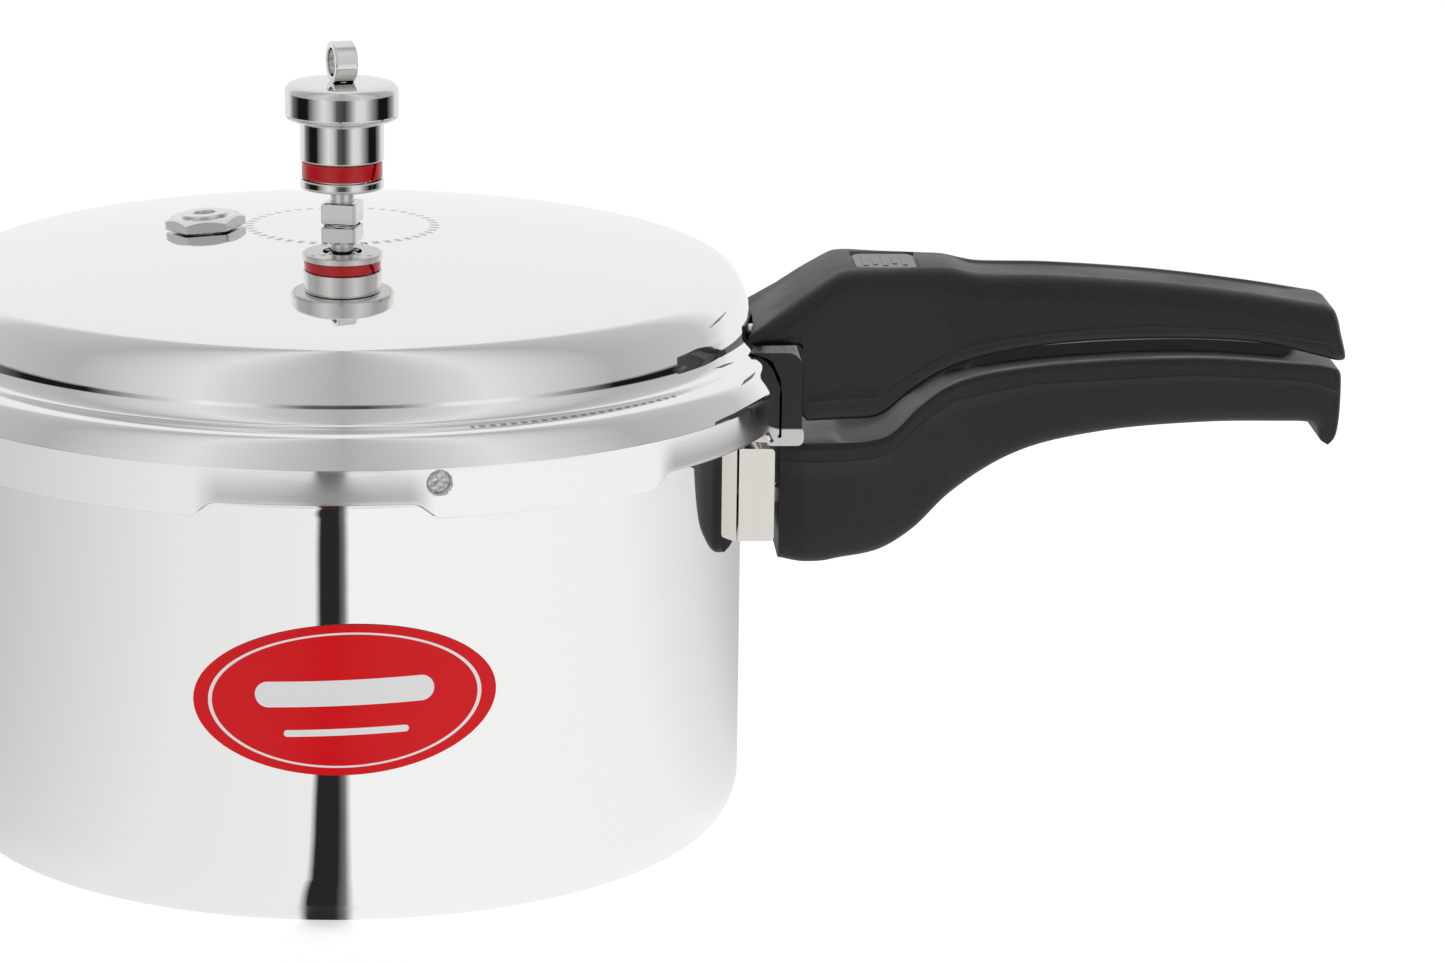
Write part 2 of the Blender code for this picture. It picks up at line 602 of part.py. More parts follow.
def weight_cap():
    low = WEIGHT_BASE + 0.0168
    top = WEIGHT_BASE + 0.0259
    profile = [(0.0063, low), (0.0126, low), (0.0134, low + 0.0004), (0.0137, low + 0.0013)]
    profile += [(0.0137, low + 0.0056), *arc((0.0107, low + 0.0056), 0.0030, 0, 80, 4)]
    profile += [(0.0060, top - 0.0001), (0, top), (0, low + 0.0052), (0.0063, low + 0.0052)]
    return add_object("weight_cap", turned(profile, 32, ring=True), "polished_steel")


def weight_needle():
    low = 0.1623
    profile = [(0, low), (0.0009, low + 0.0010), (0.0025, low + 0.0022), (0.0028, low + 0.0030)]
    profile += [(0.0028, WEIGHT_BASE + 0.0155), (0, WEIGHT_BASE + 0.0155)]
    return add_object("weight_needle", turned(profile, 24), "plated_steel")


def weight_clip():
    low = WEIGHT_BASE + 0.0010
    profile = arc((0.0039, low + 0.0007), 0.0006, 0, 315, 7)
    return add_object("weight_clip", turned(profile, 24, ring=True), "plated_steel")


def finger_loop():
    profile = [(0.0034, -0.0027), (0.0048, -0.0027), (0.0050, -0.0025), (0.0050, 0.0025)]
    profile += [(0.0048, 0.0027), (0.0034, 0.0027)]
    centre = (0, 0, WEIGHT_BASE + 0.0313)
    turn = Matrix.Rotation(math.radians(LOOP_TURN), 4, "Z") @ Matrix.Rotation(math.radians(90), 4, "Y")
    bm = moved(turned(profile, 28, ring=True), Matrix.Translation(centre) @ turn)
    return add_object("finger_loop", bm, "polished_steel")


def body_label():
    """Thin oval on the wall, in rings round its centre, with a front and a back."""
    bm = bmesh.new()
    tilt = math.radians(LABEL_TILT)
    sheets = []
    for radius in (POT_RADIUS + CLEARANCE, POT_RADIUS + CLEARANCE + 0.0002):
        rings = []
        for share in (0.25, 0.5, 0.75, 1.0):
            ring = []
            for step in range(LABEL_STEPS):
                turn = math.tau * step / LABEL_STEPS
                along = LABEL_HALF_WIDTH * share * math.cos(turn)
                up = LABEL_HALF_HEIGHT * share * math.sin(turn)
                across = along * math.cos(tilt) - up * math.sin(tilt)
                rise = along * math.sin(tilt) + up * math.cos(tilt)
                azimuth = LABEL_AZIMUTH + math.degrees(across / POT_RADIUS)
                ring.append(bm.verts.new(polar(radius, azimuth, LABEL_HEIGHT + rise)))
            rings.append(ring)
        centre = bm.verts.new(polar(radius, LABEL_AZIMUTH, LABEL_HEIGHT))
        for place in range(LABEL_STEPS):
            after = (place + 1) % LABEL_STEPS
            bm.faces.new((centre, rings[0][place], rings[0][after]))
            for ring, wider in zip(rings, rings[1:]):
                bm.faces.new((ring[place], wider[place], wider[after], ring[after]))
        sheets.append(rings[-1])
    for place in range(LABEL_STEPS):
        after = (place + 1) % LABEL_STEPS
        bm.faces.new((sheets[0][place], sheets[0][after], sheets[1][after], sheets[1][place]))
    return add_object("body_label", bm, "red_label")


def own_origin(item, point):
    """Put an object's origin on its joint axis without moving the piece."""
    item.data.transform(Matrix.Translation(-Vector(point)))
    item.location = point


def main():
    clear_scene()
    pot_body()
    body_bracket()
    radial_rivet("body_bracket_rivet", POT_RADIUS - POT_WALL - 0.0026, BODY_RIVET_HEIGHT,
                 0.0024, 0.0045, 0.0083)
    body_handle()
    screw_set("body_handle", BODY_SCREW_X, 0.0800, 0.0840)
    body_label()
    lid_shell()
    lid_gasket()
    stop_rivet()
    lid_bracket()
    radial_rivet("lid_bracket_rivet", 0.0933, LID_RIVET_HEIGHT, 0.0016, 0.0032, 0.0086)
    lid_handle()
    screw_set("lid_handle", LID_SCREW_X, 0.1080, 0.1110)
    handle_badge()
    vent()
    safety_plug()
    weight_base = (0, 0, WEIGHT_BASE)
    for make in (weight_body, weight_ring, weight_cap, weight_needle, weight_clip, finger_loop):
        own_origin(make(), weight_base)


main()
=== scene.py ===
import math

import bmesh
import bpy
import numpy as np
from mathutils import Matrix, Vector


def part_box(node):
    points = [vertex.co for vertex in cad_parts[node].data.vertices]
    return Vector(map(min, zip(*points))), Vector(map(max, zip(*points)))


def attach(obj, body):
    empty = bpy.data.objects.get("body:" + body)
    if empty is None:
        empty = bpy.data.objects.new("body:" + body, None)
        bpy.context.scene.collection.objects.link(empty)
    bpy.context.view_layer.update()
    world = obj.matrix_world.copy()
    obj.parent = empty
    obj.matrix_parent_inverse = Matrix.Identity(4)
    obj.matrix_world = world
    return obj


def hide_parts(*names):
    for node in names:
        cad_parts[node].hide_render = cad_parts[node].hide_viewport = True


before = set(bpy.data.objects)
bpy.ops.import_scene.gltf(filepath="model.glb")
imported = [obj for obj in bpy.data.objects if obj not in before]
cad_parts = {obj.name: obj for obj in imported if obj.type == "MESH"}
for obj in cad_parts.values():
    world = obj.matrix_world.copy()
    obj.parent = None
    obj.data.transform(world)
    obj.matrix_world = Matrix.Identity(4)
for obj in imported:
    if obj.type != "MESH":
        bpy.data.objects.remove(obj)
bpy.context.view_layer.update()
print("frame loaded:", len(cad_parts), "CAD nodes")


# colours and nodes

def toLinear(hexColour):
    # sRGB hex to linear light: the standard's straight toe, then its 2.4 power
    value = np.array([int(hexColour[k:k + 2], 16) / 255 for k in (1, 3, 5)])
    linear = np.where(value <= 0.04045, value / 12.92, ((value + 0.055) / 1.055) ** 2.4)
    return (*linear.tolist(), 1.0)


def grey(level):
    return (level, level, level, 1.0)


def addNode(tree, kind, inputs=(), stops=(), **settings):
    # one node with its settings; inputs are (socket, value) pairs, and an output given as value is linked
    node = tree.nodes.new("ShaderNode" + kind)
    for name, value in settings.items():
        setattr(node, name, value)
    for socket, value in inputs:
        if isinstance(value, bpy.types.NodeSocket):
            tree.links.new(value, node.inputs[socket])
        else:
            node.inputs[socket].default_value = value
    if stops:  # a ramp's (place, colour) pairs, in order
        ramp = node.color_ramp.elements
        for element, (place, colour) in ((ramp[0], stops[0]), (ramp[1], stops[-1])):
            element.position = place
            element.color = colour
        for place, colour in stops[1:-1]:
            ramp.new(place).color = colour
    return node


def newMaterial(name, sockets):
    # what is the same all over is set on the shader's own sockets
    made = bpy.data.materials.new(name)
    made.use_nodes = True
    shader = made.node_tree.nodes["Principled BSDF"]
    for socket, value in sockets.items():
        shader.inputs[socket].default_value = value
    return made, made.node_tree, shader


# shapes: everything is worked out as whole arrays of points

def filletPath(corners, arcSteps=6, runSteps=2, closed=False):
    # straight runs between (across, up, radius) corners, with a tangent arc of that radius at each corner.
    # each run has a point close to both its ends, so that the shading stays flat along it
    spot = np.array([corner[:2] for corner in corners], float)
    radius = np.array([corner[2] if len(corner) > 2 else 0.0 for corner in corners])
    before = np.roll(spot, 1, axis=0) - spot
    after = np.roll(spot, -1, axis=0) - spot
    gapBefore = np.maximum(np.linalg.norm(before, axis=1), 1e-9)
    gapAfter = np.maximum(np.linalg.norm(after, axis=1), 1e-9)
    before = before / gapBefore[:, None]
    after = after / gapAfter[:, None]
    half = np.arccos(np.clip((before * after).sum(1), -1, 1)) / 2
    half = np.clip(half, 0.02, math.pi / 2 - 1e-4)
    reach = np.minimum(radius / np.tan(half), 0.49 * np.minimum(gapBefore, gapAfter))
    if not closed:
        reach[[0, -1]] = 0
    middle = before + after
    middle = middle / np.maximum(np.linalg.norm(middle, axis=1), 1e-9)[:, None]
    centre = spot + middle * (reach / np.cos(half))[:, None]
    start = spot + before * reach[:, None]
    end = spot + after * reach[:, None]
    sweep = (math.pi - 2 * half)[:, None, None]
    share = np.linspace(0, 1, arcSteps + 1)[None, :, None]
    arcs = centre[:, None] + (np.sin((1 - share) * sweep) * (start - centre)[:, None]
                              + np.sin(share * sweep) * (end - centre)[:, None]) / np.sin(sweep)
    nextStart = np.roll(start, -1, axis=0)
    run = np.maximum(np.linalg.norm(nextStart - end, axis=1), 1e-9)
    margin = np.minimum(0.00025 / run, 0.3)[:, None]
    along = margin + (1 - 2 * margin) * np.linspace(0, 1, runSteps + 2)[None, :]
    runs = end[:, None] + along[:, :, None] * (nextStart - end)[:, None]
    path = np.concatenate((arcs, runs), axis=1).reshape(-1, 2)
    return path if closed else path[:-(runSteps + 2)]


def curveThrough(points, spacing):
    # smooth curve through the points: a cubic on each stretch, whose slope at a point is that of the parabola
    # through it and its two neighbours, timed by the square root of the distance between points
    knots = np.array(points, float)
    gap = np.linalg.norm(np.diff(knots, axis=0), axis=1)
    step = np.sqrt(gap)[:, None]
    rate = np.diff(knots, axis=0) / step
    slope = np.concatenate((rate[:1], (rate[1:] * step[:-1] + rate[:-1] * step[1:]) / (step[1:] + step[:-1]),
                            rate[-1:]))
    count = np.maximum(np.ceil(gap / spacing).astype(int), 1)
    stretch = np.repeat(np.arange(len(gap)), count)
    t = np.concatenate([np.arange(n) / n for n in count])[:, None]
    h = step[stretch]
    path = ((2 * t ** 3 - 3 * t ** 2 + 1) * knots[stretch] + (t ** 3 - 2 * t ** 2 + t) * h * slope[stretch]
            + (3 * t ** 2 - 2 * t ** 3) * knots[stretch + 1] + (t ** 3 - t ** 2) * h * slope[stretch + 1])
    return np.concatenate((path, knots[-1:]))


def turned(radius, height, azimuth):
    # each (radius, height) is carried round the Z axis; azimuth 0 is -Y and 90 is +X. rows are azimuths
    angle = np.radians(azimuth)[:, None]
    radius = np.atleast_2d(radius)
    height = np.atleast_2d(height)
    return np.stack((radius * np.sin(angle), -radius * np.cos(angle), height + 0 * angle), axis=-1)


def around(count):
    return np.arange(count) * 360 / count


def placed(points, matrix):
    m = np.array(matrix)
    return points @ m[:3, :3].T + m[:3, 3]


def prism(outline, levels, matrix=Matrix()):
    # a flat convex outline carried up through (inset, height) levels; the first and last close on the middle.
    # an inset moves each side in by that much, as a scale about the middle along each axis
    middle = (outline.min(0) + outline.max(0)) / 2
    half = (outline.max(0) - outline.min(0)) / 2
    inset = np.array([level[0] for level in levels])[:, None, None]
    height = np.array([level[1] for level in levels])[:, None, None]
    rings = middle + (outline - middle) * (1 - inset / half)
    rings = np.concatenate((middle + 0 * rings[:1], rings, middle + 0 * rings[:1]))
    height = np.concatenate((height[:1], height, height[-1:])) + 0 * rings[..., :1]
    return placed(np.concatenate((rings, height), axis=-1), matrix), False, True


def boxOutline(low, high, radius):
    return filletPath([(low[0], low[1], radius), (high[0], low[1], radius),
                       (high[0], high[1], radius), (low[0], high[1], radius)], 5, 1, closed=True)


def ease(value, start, end):
    t = np.clip((value - start) / (end - start), 0, 1)
    return t * t * (3 - 2 * t)


def makePiece(name, grids, look, body, stands, sharp=32.0, uv=None):
    # grids are (rows x columns x 3 points, rows close, columns close); every quad joins four neighbours.
    # doubles are merged, so poles and seams close, and the faces are then turned outwards
    points = []
    faces = []
    start = 0
    for grid, closeRows, closeColumns in grids:
        index = np.arange(grid.shape[0] * grid.shape[1]).reshape(grid.shape[:2]) + start
        start += index.size
        index = np.vstack((index, index[:1])) if closeRows else index
        index = np.hstack((index, index[:, :1])) if closeColumns else index
        quads = (index[:-1, :-1], index[:-1, 1:], index[1:, 1:], index[1:, :-1])
        faces.append(np.stack(quads, axis=-1).reshape(-1, 4))
        points.append(grid.reshape(-1, 3))
    mesh = bpy.data.meshes.new(name)
    mesh.from_pydata(np.concatenate(points).tolist(), [], np.concatenate(faces).tolist())
    if uv is not None:
        corner = np.zeros(len(mesh.loops), int)
        mesh.loops.foreach_get("vertex_index", corner)
        mesh.uv_layers.new(name="face").data.foreach_set("uv", uv[corner].ravel())
    shape = bmesh.new()
    shape.from_mesh(mesh)
    bmesh.ops.remove_doubles(shape, verts=shape.verts, dist=2e-6)
    bmesh.ops.recalc_face_normals(shape, faces=shape.faces)
    shape.to_mesh(mesh)
    shape.free()
    mesh.shade_smooth()
    mesh.set_sharp_from_angle(angle=math.radians(sharp))
    mesh.materials.append(look)
    piece = bpy.data.objects.new(name, mesh)
    bpy.context.scene.collection.objects.link(piece)
    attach(piece, body)
    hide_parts(*stands)
    return piece


# materials

aluminium = {
    "colour": "#f1f1f0",
    "polished": (0.014, 0.045),    # roughness along the buffing lines
    "satin": 0.26,                 # roughness of the turned base corner
    "satinHeight": 0.0068,
    "lineSpacing": 0.0011,         # the real lines are about 0.1 mm apart; drawn coarse enough to show
    "patchSize": 0.045,
    # painted shade: the pressed marks, and the skirt's foot between the lugs, are tinted this darker grey in place
    # of their shading
    "paintedShade": "#a8a8a8",          # pressed marks hold a little less light
    "foot": {"middle": -92.9, "half": 13.4, "top": 0.1118},
}

stampings = {
    "ring": {"radius": 0.0223, "width": 0.0024, "count": 46, "share": 0.55, "arc": (0, 180)},
    "shoulder": {"radius": 0.1025, "width": 0.0013, "count": 250, "share": 0.66, "arc": (-57, 16)},
}


def buffedAluminium(name, look, marks=()):
    # pressed aluminium, buffed on a wheel: a bright mirror with a faint haze of lines round the axis,
    # and a turned satin corner at the base
    made, tree, shader = newMaterial(name, {"Metallic": 1.0, "Base Color": toLinear(look["colour"])})
    place = addNode(tree, "TexCoord").outputs["Object"]
    flat = addNode(tree, "Mapping", [("Vector", place), ("Scale", (0.03, 0.03, 1.0))])
    lines = addNode(tree, "TexNoise", [("Vector", flat.outputs[0]), ("Scale", 1 / look["lineSpacing"]),
                                       ("Detail", 5.0), ("Roughness", 0.6)])
    patches = addNode(tree, "TexNoise", [("Vector", place), ("Scale", 1 / look["patchSize"]),
                                         ("Detail", 3.0)])
    height = addNode(tree, "SeparateXYZ", [("Vector", place)]).outputs["Z"]
    satin = addNode(tree, "MapRange", [("Value", height), ("From Min", look["satinHeight"]),
                                       ("From Max", look["satinHeight"] - 0.0006)])
    gloss = addNode(tree, "MapRange", [("Value", lines.outputs["Fac"]), ("From Min", 0.3), ("From Max", 0.75),
                                       ("To Min", look["polished"][0]), ("To Max", look["polished"][1])])
    rough = addNode(tree, "MapRange", [("Value", satin.outputs[0]), ("To Min", gloss.outputs[0]),
                                       ("To Max", look["satin"])])
    tree.links.new(rough.outputs[0], shader.inputs["Roughness"])
    wave = addNode(tree, "Bump", [("Height", patches.outputs["Fac"]), ("Strength", 0.35),
                                  ("Distance", 0.00025)])
    scored = addNode(tree, "Bump", [("Height", lines.outputs["Fac"]), ("Strength", 0.25),
                                    ("Distance", 0.00001),
                                    ("Normal", wave.outputs[0])])
    normal = scored.outputs[0]
    paintedShade = 0.0
    if marks:
        flatPlace = addNode(tree, "VectorMath", [(0, place), (1, (1, 1, 0))], operation="MULTIPLY")
        apart = addNode(tree, "VectorMath", [(0, flatPlace.outputs[0])], operation="LENGTH").outputs["Value"]
        axes = addNode(tree, "SeparateXYZ", [("Vector", place)])
        angle = addNode(tree, "Math", [(0, axes.outputs["Y"]), (1, axes.outputs["X"])], operation="ARCTAN2")
        for mark in marks:
            # short strokes round a circle: on for a share of each step of the angle, within the band's width
            away = addNode(tree, "Math", [(0, apart), (1, mark["radius"])], operation="SUBTRACT")
            away = addNode(tree, "Math", [(0, away.outputs[0])], operation="ABSOLUTE")
            inside = addNode(tree, "MapRange", [("Value", away.outputs[0]), ("From Min", mark["width"] / 2),
                                                ("From Max", mark["width"] / 2 - 0.0002)])
            beat = addNode(tree, "Math", [(0, angle.outputs[0]), (1, mark["count"] / math.tau)],
                           operation="MULTIPLY")
            beat = addNode(tree, "Math", [(0, beat.outputs[0])], operation="FRACT")
            stroke = addNode(tree, "MapRange", [("Value", beat.outputs[0]), ("From Min", mark["share"]),
                                                ("From Max", mark["share"] - 0.12)])
            middle, half = (math.radians(part) for part in mark["arc"])
            within = addNode(tree, "Math", [(0, angle.outputs[0]), (1, middle), (2, half + 0.001)],
                             operation="COMPARE")
            cutMark = addNode(tree, "Math", [(0, inside.outputs[0]), (1, stroke.outputs[0])],
                              operation="MULTIPLY")
            cutMark = addNode(tree, "Math", [(0, cutMark.outputs[0]), (1, within.outputs[0])],
                              operation="MULTIPLY")
            press = addNode(tree, "Bump", [("Height", cutMark.outputs[0]), ("Strength", 0.8),
                                           ("Distance", 0.0001), ("Normal", normal)], invert=True)
            normal = press.outputs[0]
            paintedShade = addNode(tree, "Math", [(0, cutMark.outputs[0]), (1, paintedShade)],
                              operation="MAXIMUM").outputs[0]
        # the skirt's foot keeps the press's satin between its lugs, six times to a turn; there it also takes part
        # of the painted shade, in place of the shading of a pressed recess that the shape lacks
        foot = look["foot"]
        turn = addNode(tree, "Math", [(0, angle.outputs[0]), (1, 6 / math.tau), (2, 0.5 - foot["middle"] / 60)],
                       operation="MULTIPLY_ADD")
        turn = addNode(tree, "Math", [(0, turn.outputs[0])], operation="FRACT")
        beside = addNode(tree, "Math", [(0, turn.outputs[0]), (1, 0.5)], operation="SUBTRACT")
        beside = addNode(tree, "Math", [(0, beside.outputs[0])], operation="ABSOLUTE")
        between = addNode(tree, "MapRange", [("Value", beside.outputs[0]), ("From Min", foot["half"] / 60 + 0.02),
                                             ("From Max", foot["half"] / 60 - 0.03)])
        below = addNode(tree, "MapRange", [("Value", height), ("From Min", foot["top"] + 0.0012),
                                           ("From Max", foot["top"] - 0.0050)])
        footSatinAndShade = addNode(tree, "Math", [(0, between.outputs[0]), (1, below.outputs[0])], operation="MULTIPLY")
        rough = addNode(tree, "MapRange", [("Value", footSatinAndShade.outputs[0]), ("To Min", rough.outputs[0]),
                                           ("To Max", look["satin"])])
        tree.links.new(rough.outputs[0], shader.inputs["Roughness"])
        # painted shade: the pressed marks in full, and the foot between lugs at 0.55, tint towards the darker grey
        paintedShade = addNode(tree, "Math", [(0, footSatinAndShade.outputs[0]), (1, 0.55), (2, paintedShade)], operation="MULTIPLY_ADD")
        tint = addNode(tree, "Mix", [(0, paintedShade.outputs[0]), (6, toLinear(look["colour"])),
                                     (7, toLinear(look["paintedShade"]))], data_type="RGBA")
        tree.links.new(tint.outputs[2], shader.inputs["Base Color"])
    tree.links.new(normal, shader.inputs["Normal"])
    return made


steel = {
    "bright": {"colour": "#d8d5cf", "roughness": (0.05, 0.13), "lineSpacing": 0.0006},
    "chrome": {"colour": "#e0dfdd", "roughness": (0.02, 0.06), "lineSpacing": 0.0006},
    "plated": {"colour": "#dcdcda", "roughness": (0.12, 0.24), "lineSpacing": 0.0008},
    # painted reflection: near-black non-metal above the lid bracket's lip stands in for polished steel mirroring
    # the black grip
    "paintedReflection": {"colour": "#101011", "roughness": (0.34, 0.48), "lineSpacing": 0.0006,
                "brightBelow": 0.1026, "brightColour": "#dcdad6"},
}


def machinedSteel(name, look, stretch):
    # turned or drawn steel, polished or plated: sharp reflections, broken a little along the tool's lines
    made, tree, shader = newMaterial(name, {"Metallic": 1.0, "Base Color": toLinear(look["colour"])})
    place = addNode(tree, "TexCoord").outputs["Object"]
    drawn = addNode(tree, "Mapping", [("Vector", place), ("Scale", stretch)])
    lines = addNode(tree, "TexNoise", [("Vector", drawn.outputs[0]), ("Scale", 1 / look["lineSpacing"]),
                                       ("Detail", 4.0)])
    low, high = look["roughness"]
    gloss = addNode(tree, "MapRange", [("Value", lines.outputs["Fac"]), ("From Min", 0.3), ("From Max", 0.75),
                                       ("To Min", low), ("To Max", high)])
    tree.links.new(gloss.outputs[0], shader.inputs["Roughness"])
    scored = addNode(tree, "Bump", [("Height", lines.outputs["Fac"]), ("Strength", 0.25),
                                    ("Distance", 0.00001)])
    tree.links.new(scored.outputs[0], shader.inputs["Normal"])
    if "brightBelow" in look:  # the lip under the lid stays bright metal
        height = addNode(tree, "SeparateXYZ", [("Vector", place)]).outputs["Z"]
        metalLip = addNode(tree, "MapRange", [("Value", height), ("From Min", look["brightBelow"] + 0.0004),
                                          ("From Max", look["brightBelow"])])
        tint = addNode(tree, "Mix", [(0, metalLip.outputs[0]), (6, toLinear(look["colour"])),
                                     (7, toLinear(look["brightColour"]))], data_type="RGBA")
        tree.links.new(tint.outputs[2], shader.inputs["Base Color"])
        # above the lip, near-black non-metal is a painted reflection: it stands in for the mirror image of the grip
        tree.links.new(metalLip.outputs[0], shader.inputs["Metallic"])
    return made


phenolic = {
    "colours": ("#0d0d0e", "#1c1c1d"),
    "roughness": (0.36, 0.50),
    "grain": 0.00075,       # eroded mould grain, about 0.4 mm on the real handle, drawn coarse enough to show
    "grainDepth": 0.00009,
}


def mouldedPhenolic(name, look):
    # phenolic resin from a spark-eroded mould: near black, half matt, with a fine pebble
    # that speckles highlights
    made, tree, shader = newMaterial(name, {"IOR": 1.45})
    place = addNode(tree, "TexCoord").outputs["Object"]
    grain = addNode(tree, "TexNoise", [("Vector", place), ("Scale", 1 / look["grain"]), ("Detail", 3.0),
                                       ("Roughness", 0.65)])
    blotch = addNode(tree, "TexNoise", [("Vector", place), ("Scale", 60.0), ("Detail", 3.0)])
    low, high = look["colours"]
    tint = addNode(tree, "ValToRGB", [("Fac", grain.outputs["Fac"])],
                   stops=[(0.35, toLinear(low)), (0.72, toLinear(high))])
    tree.links.new(tint.outputs[0], shader.inputs["Base Color"])
    gloss = addNode(tree, "MapRange", [("Value", blotch.outputs["Fac"]), ("From Min", 0.3), ("From Max", 0.7),
                                       ("To Min", look["roughness"][0]), ("To Max", look["roughness"][1])])
    tree.links.new(gloss.outputs[0], shader.inputs["Roughness"])
    pebble = addNode(tree, "Bump", [("Height", grain.outputs["Fac"]), ("Strength", 0.6),
                                    ("Distance", look["grainDepth"])])
    tree.links.new(pebble.outputs[0], shader.inputs["Normal"])
    return made


label = {
    "azimuth": 0.8, "height": 0.0564, "tilt": 2.3,
    "halfWidth": 0.0352, "halfHeight": 0.0178,
    "red": "#e4000f", "white": "#f6f6f6",
    "bars": [(0.10, 0.17, 1.15), (-0.42, 0.045, 0.80)],   # (middle, half height, half length)
}


def printedVinyl(name, look):
    # glossy printed sticker: flat red with a thin white oval inside its edge,
    # a broad white bar and a thin one.
    # the face's own map runs from -1 to 1 both ways once doubled and shifted
    made, tree, shader = newMaterial(name, {"Roughness": 0.30, "Specular IOR Level": 0.25})
    place = addNode(tree, "UVMap", uv_map="face").outputs["UV"]
    centred = addNode(tree, "VectorMath", [(0, place), (1, (2, 2, 0)), (2, (-1, -1, 0))],
                      operation="MULTIPLY_ADD").outputs[0]
    apart = addNode(tree, "VectorMath", [(0, centred)], operation="LENGTH").outputs["Value"]
    away = addNode(tree, "Math", [(0, apart), (1, 0.885)], operation="SUBTRACT")
    away = addNode(tree, "Math", [(0, away.outputs[0])], operation="ABSOLUTE")
    inked = addNode(tree, "Math", [(0, away.outputs[0]), (1, 0.013)], operation="LESS_THAN").outputs[0]
    for middle, half, reach in look["bars"]:
        # a bar with round ends: distance from a line of half length (reach - half), in real proportion
        spot = addNode(tree, "VectorMath", [(0, centred), (1, (look["halfWidth"] / look["halfHeight"], 1, 0)),
                                            (2, (0, -middle, 0))], operation="MULTIPLY_ADD").outputs[0]
        axes = addNode(tree, "SeparateXYZ", [("Vector", spot)])
        side = addNode(tree, "Math", [(0, axes.outputs["X"])], operation="ABSOLUTE")
        side = addNode(tree, "Math", [(0, side.outputs[0]), (1, reach - half)], operation="SUBTRACT")
        side = addNode(tree, "Math", [(0, side.outputs[0]), (1, 0.0)], operation="MAXIMUM")
        spot = addNode(tree, "CombineXYZ", [("X", side.outputs[0]), ("Y", axes.outputs["Y"])])
        spot = addNode(tree, "VectorMath", [(0, spot.outputs[0])], operation="LENGTH").outputs["Value"]
        bar = addNode(tree, "Math", [(0, spot), (1, half)], operation="LESS_THAN")
        inked = addNode(tree, "Math", [(0, inked), (1, bar.outputs[0])], operation="MAXIMUM").outputs[0]
    inks = addNode(tree, "Mix", [(0, inked), (6, toLinear(look["red"])), (7, toLinear(look["white"]))],
                   data_type="RGBA")
    tree.links.new(inks.outputs[2], shader.inputs["Base Color"])
    return made


def softened(name, colours, roughness, grain, depth, metallic=0.0):
    # a material with a fine grain: colour and roughness both move a little with it
    made, tree, shader = newMaterial(name, {"Metallic": metallic})
    place = addNode(tree, "TexCoord").outputs["Object"]
    noise = addNode(tree, "TexNoise", [("Vector", place), ("Scale", 1 / grain), ("Detail", 3.0)])
    tint = addNode(tree, "ValToRGB", [("Fac", noise.outputs["Fac"])],
                   stops=[(0.35, toLinear(colours[0])), (0.70, toLinear(colours[1]))])
    gloss = addNode(tree, "MapRange", [("Value", noise.outputs["Fac"]), ("From Min", 0.3), ("From Max", 0.7),
                                       ("To Min", roughness[0]), ("To Max", roughness[1])])
    bumps = addNode(tree, "Bump", [("Height", noise.outputs["Fac"]), ("Strength", 0.5), ("Distance", depth)])
    tree.links.new(tint.outputs[0], shader.inputs["Base Color"])
    tree.links.new(gloss.outputs[0], shader.inputs["Roughness"])
    tree.links.new(bumps.outputs[0], shader.inputs["Normal"])
    return made


potMetal = buffedAluminium("buffedPotAluminium", aluminium)
lidMetal = buffedAluminium("buffedLidAluminium", aluminium, stampings.values())
brightSteel = machinedSteel("polishedStainless", steel["bright"], (1.0, 0.05, 0.05))
paintedReflectionSteel = machinedSteel("steelWithPaintedReflection", steel["paintedReflection"], (1.0, 0.05, 0.05))
turnedSteel = machinedSteel("chromedBrass", steel["chrome"], (0.05, 0.05, 1.0))
platedSteel = machinedSteel("nickelPlatedSteel", steel["plated"], (0.05, 0.05, 1.0))
handleResin = mouldedPhenolic("blackPhenolic", phenolic)
stickerVinyl = printedVinyl("redVinyl", label)
ringPlastic = softened("redAcetal", ("#cf0717", "#d4091a"), (0.20, 0.26), 0.0030, 0.00001)
brassMetal = softened("brass", ("#b98f45", "#d1a75a"), (0.22, 0.36), 0.0010, 0.00001, metallic=1.0)
rubber = softened("greyNitrileRubber", ("#4a4b4d", "#5a5b5d"), (0.55, 0.75), 0.0006, 0.00003)
fusible = softened("fusibleAlloy", ("#8f9094", "#a9aaad"), (0.35, 0.60), 0.0005, 0.00006, metallic=1.0)
badgeMetal = softened("anodisedBadge", ("#6c6d70", "#8b8c8f"), (0.30, 0.42), 0.0005, 0.00001, metallic=1.0)
tornMetal = softened("shearedAluminium", ("#a9aaac", "#e2e3e5"), (0.15, 0.40), 0.0009, 0.0004, metallic=1.0)
print("materials made")


# the pot: outer radius, brim and lugs meet the CAD pot

potLow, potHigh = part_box("pot_body")

pot = {
    "radius": 0.097, "wall": 0.003, "base": 0.0045, "corner": 0.013,
    "collar": 0.100, "brim": potHigh.z,
    "lugReach": 0.0043, "lugLow": 0.105, "lugHigh": 0.109,
    "lugCentre": 24.5, "lugHalf": 11.0, "lugEase": 0.7,
    "footRadius": 0.038, "footRecess": 0.0005,
    "steps": 288,
}


def lugShare(azimuth, centre, half, easing):
    # 1 on a lug and 0 between lugs, six to a turn, easing over a short arc at each end
    away = np.abs((azimuth - centre + 30) % 60 - 30)
    return ease(half - away, 0, easing)


def lugAzimuths(steps, centre, half, easing, extra=()):
    # even steps, with more of them where the lugs' ends slope
    edges = centre + 60 * np.arange(6)[:, None, None] + np.array([-1, 1])[None, :, None] * half
    inward = np.array([-1, 1])[None, :, None] * np.linspace(-0.1, easing + 0.1, 8)[None, None, :]
    return np.unique(np.round(np.concatenate((around(steps), (edges - inward).ravel() % 360, extra)), 3))


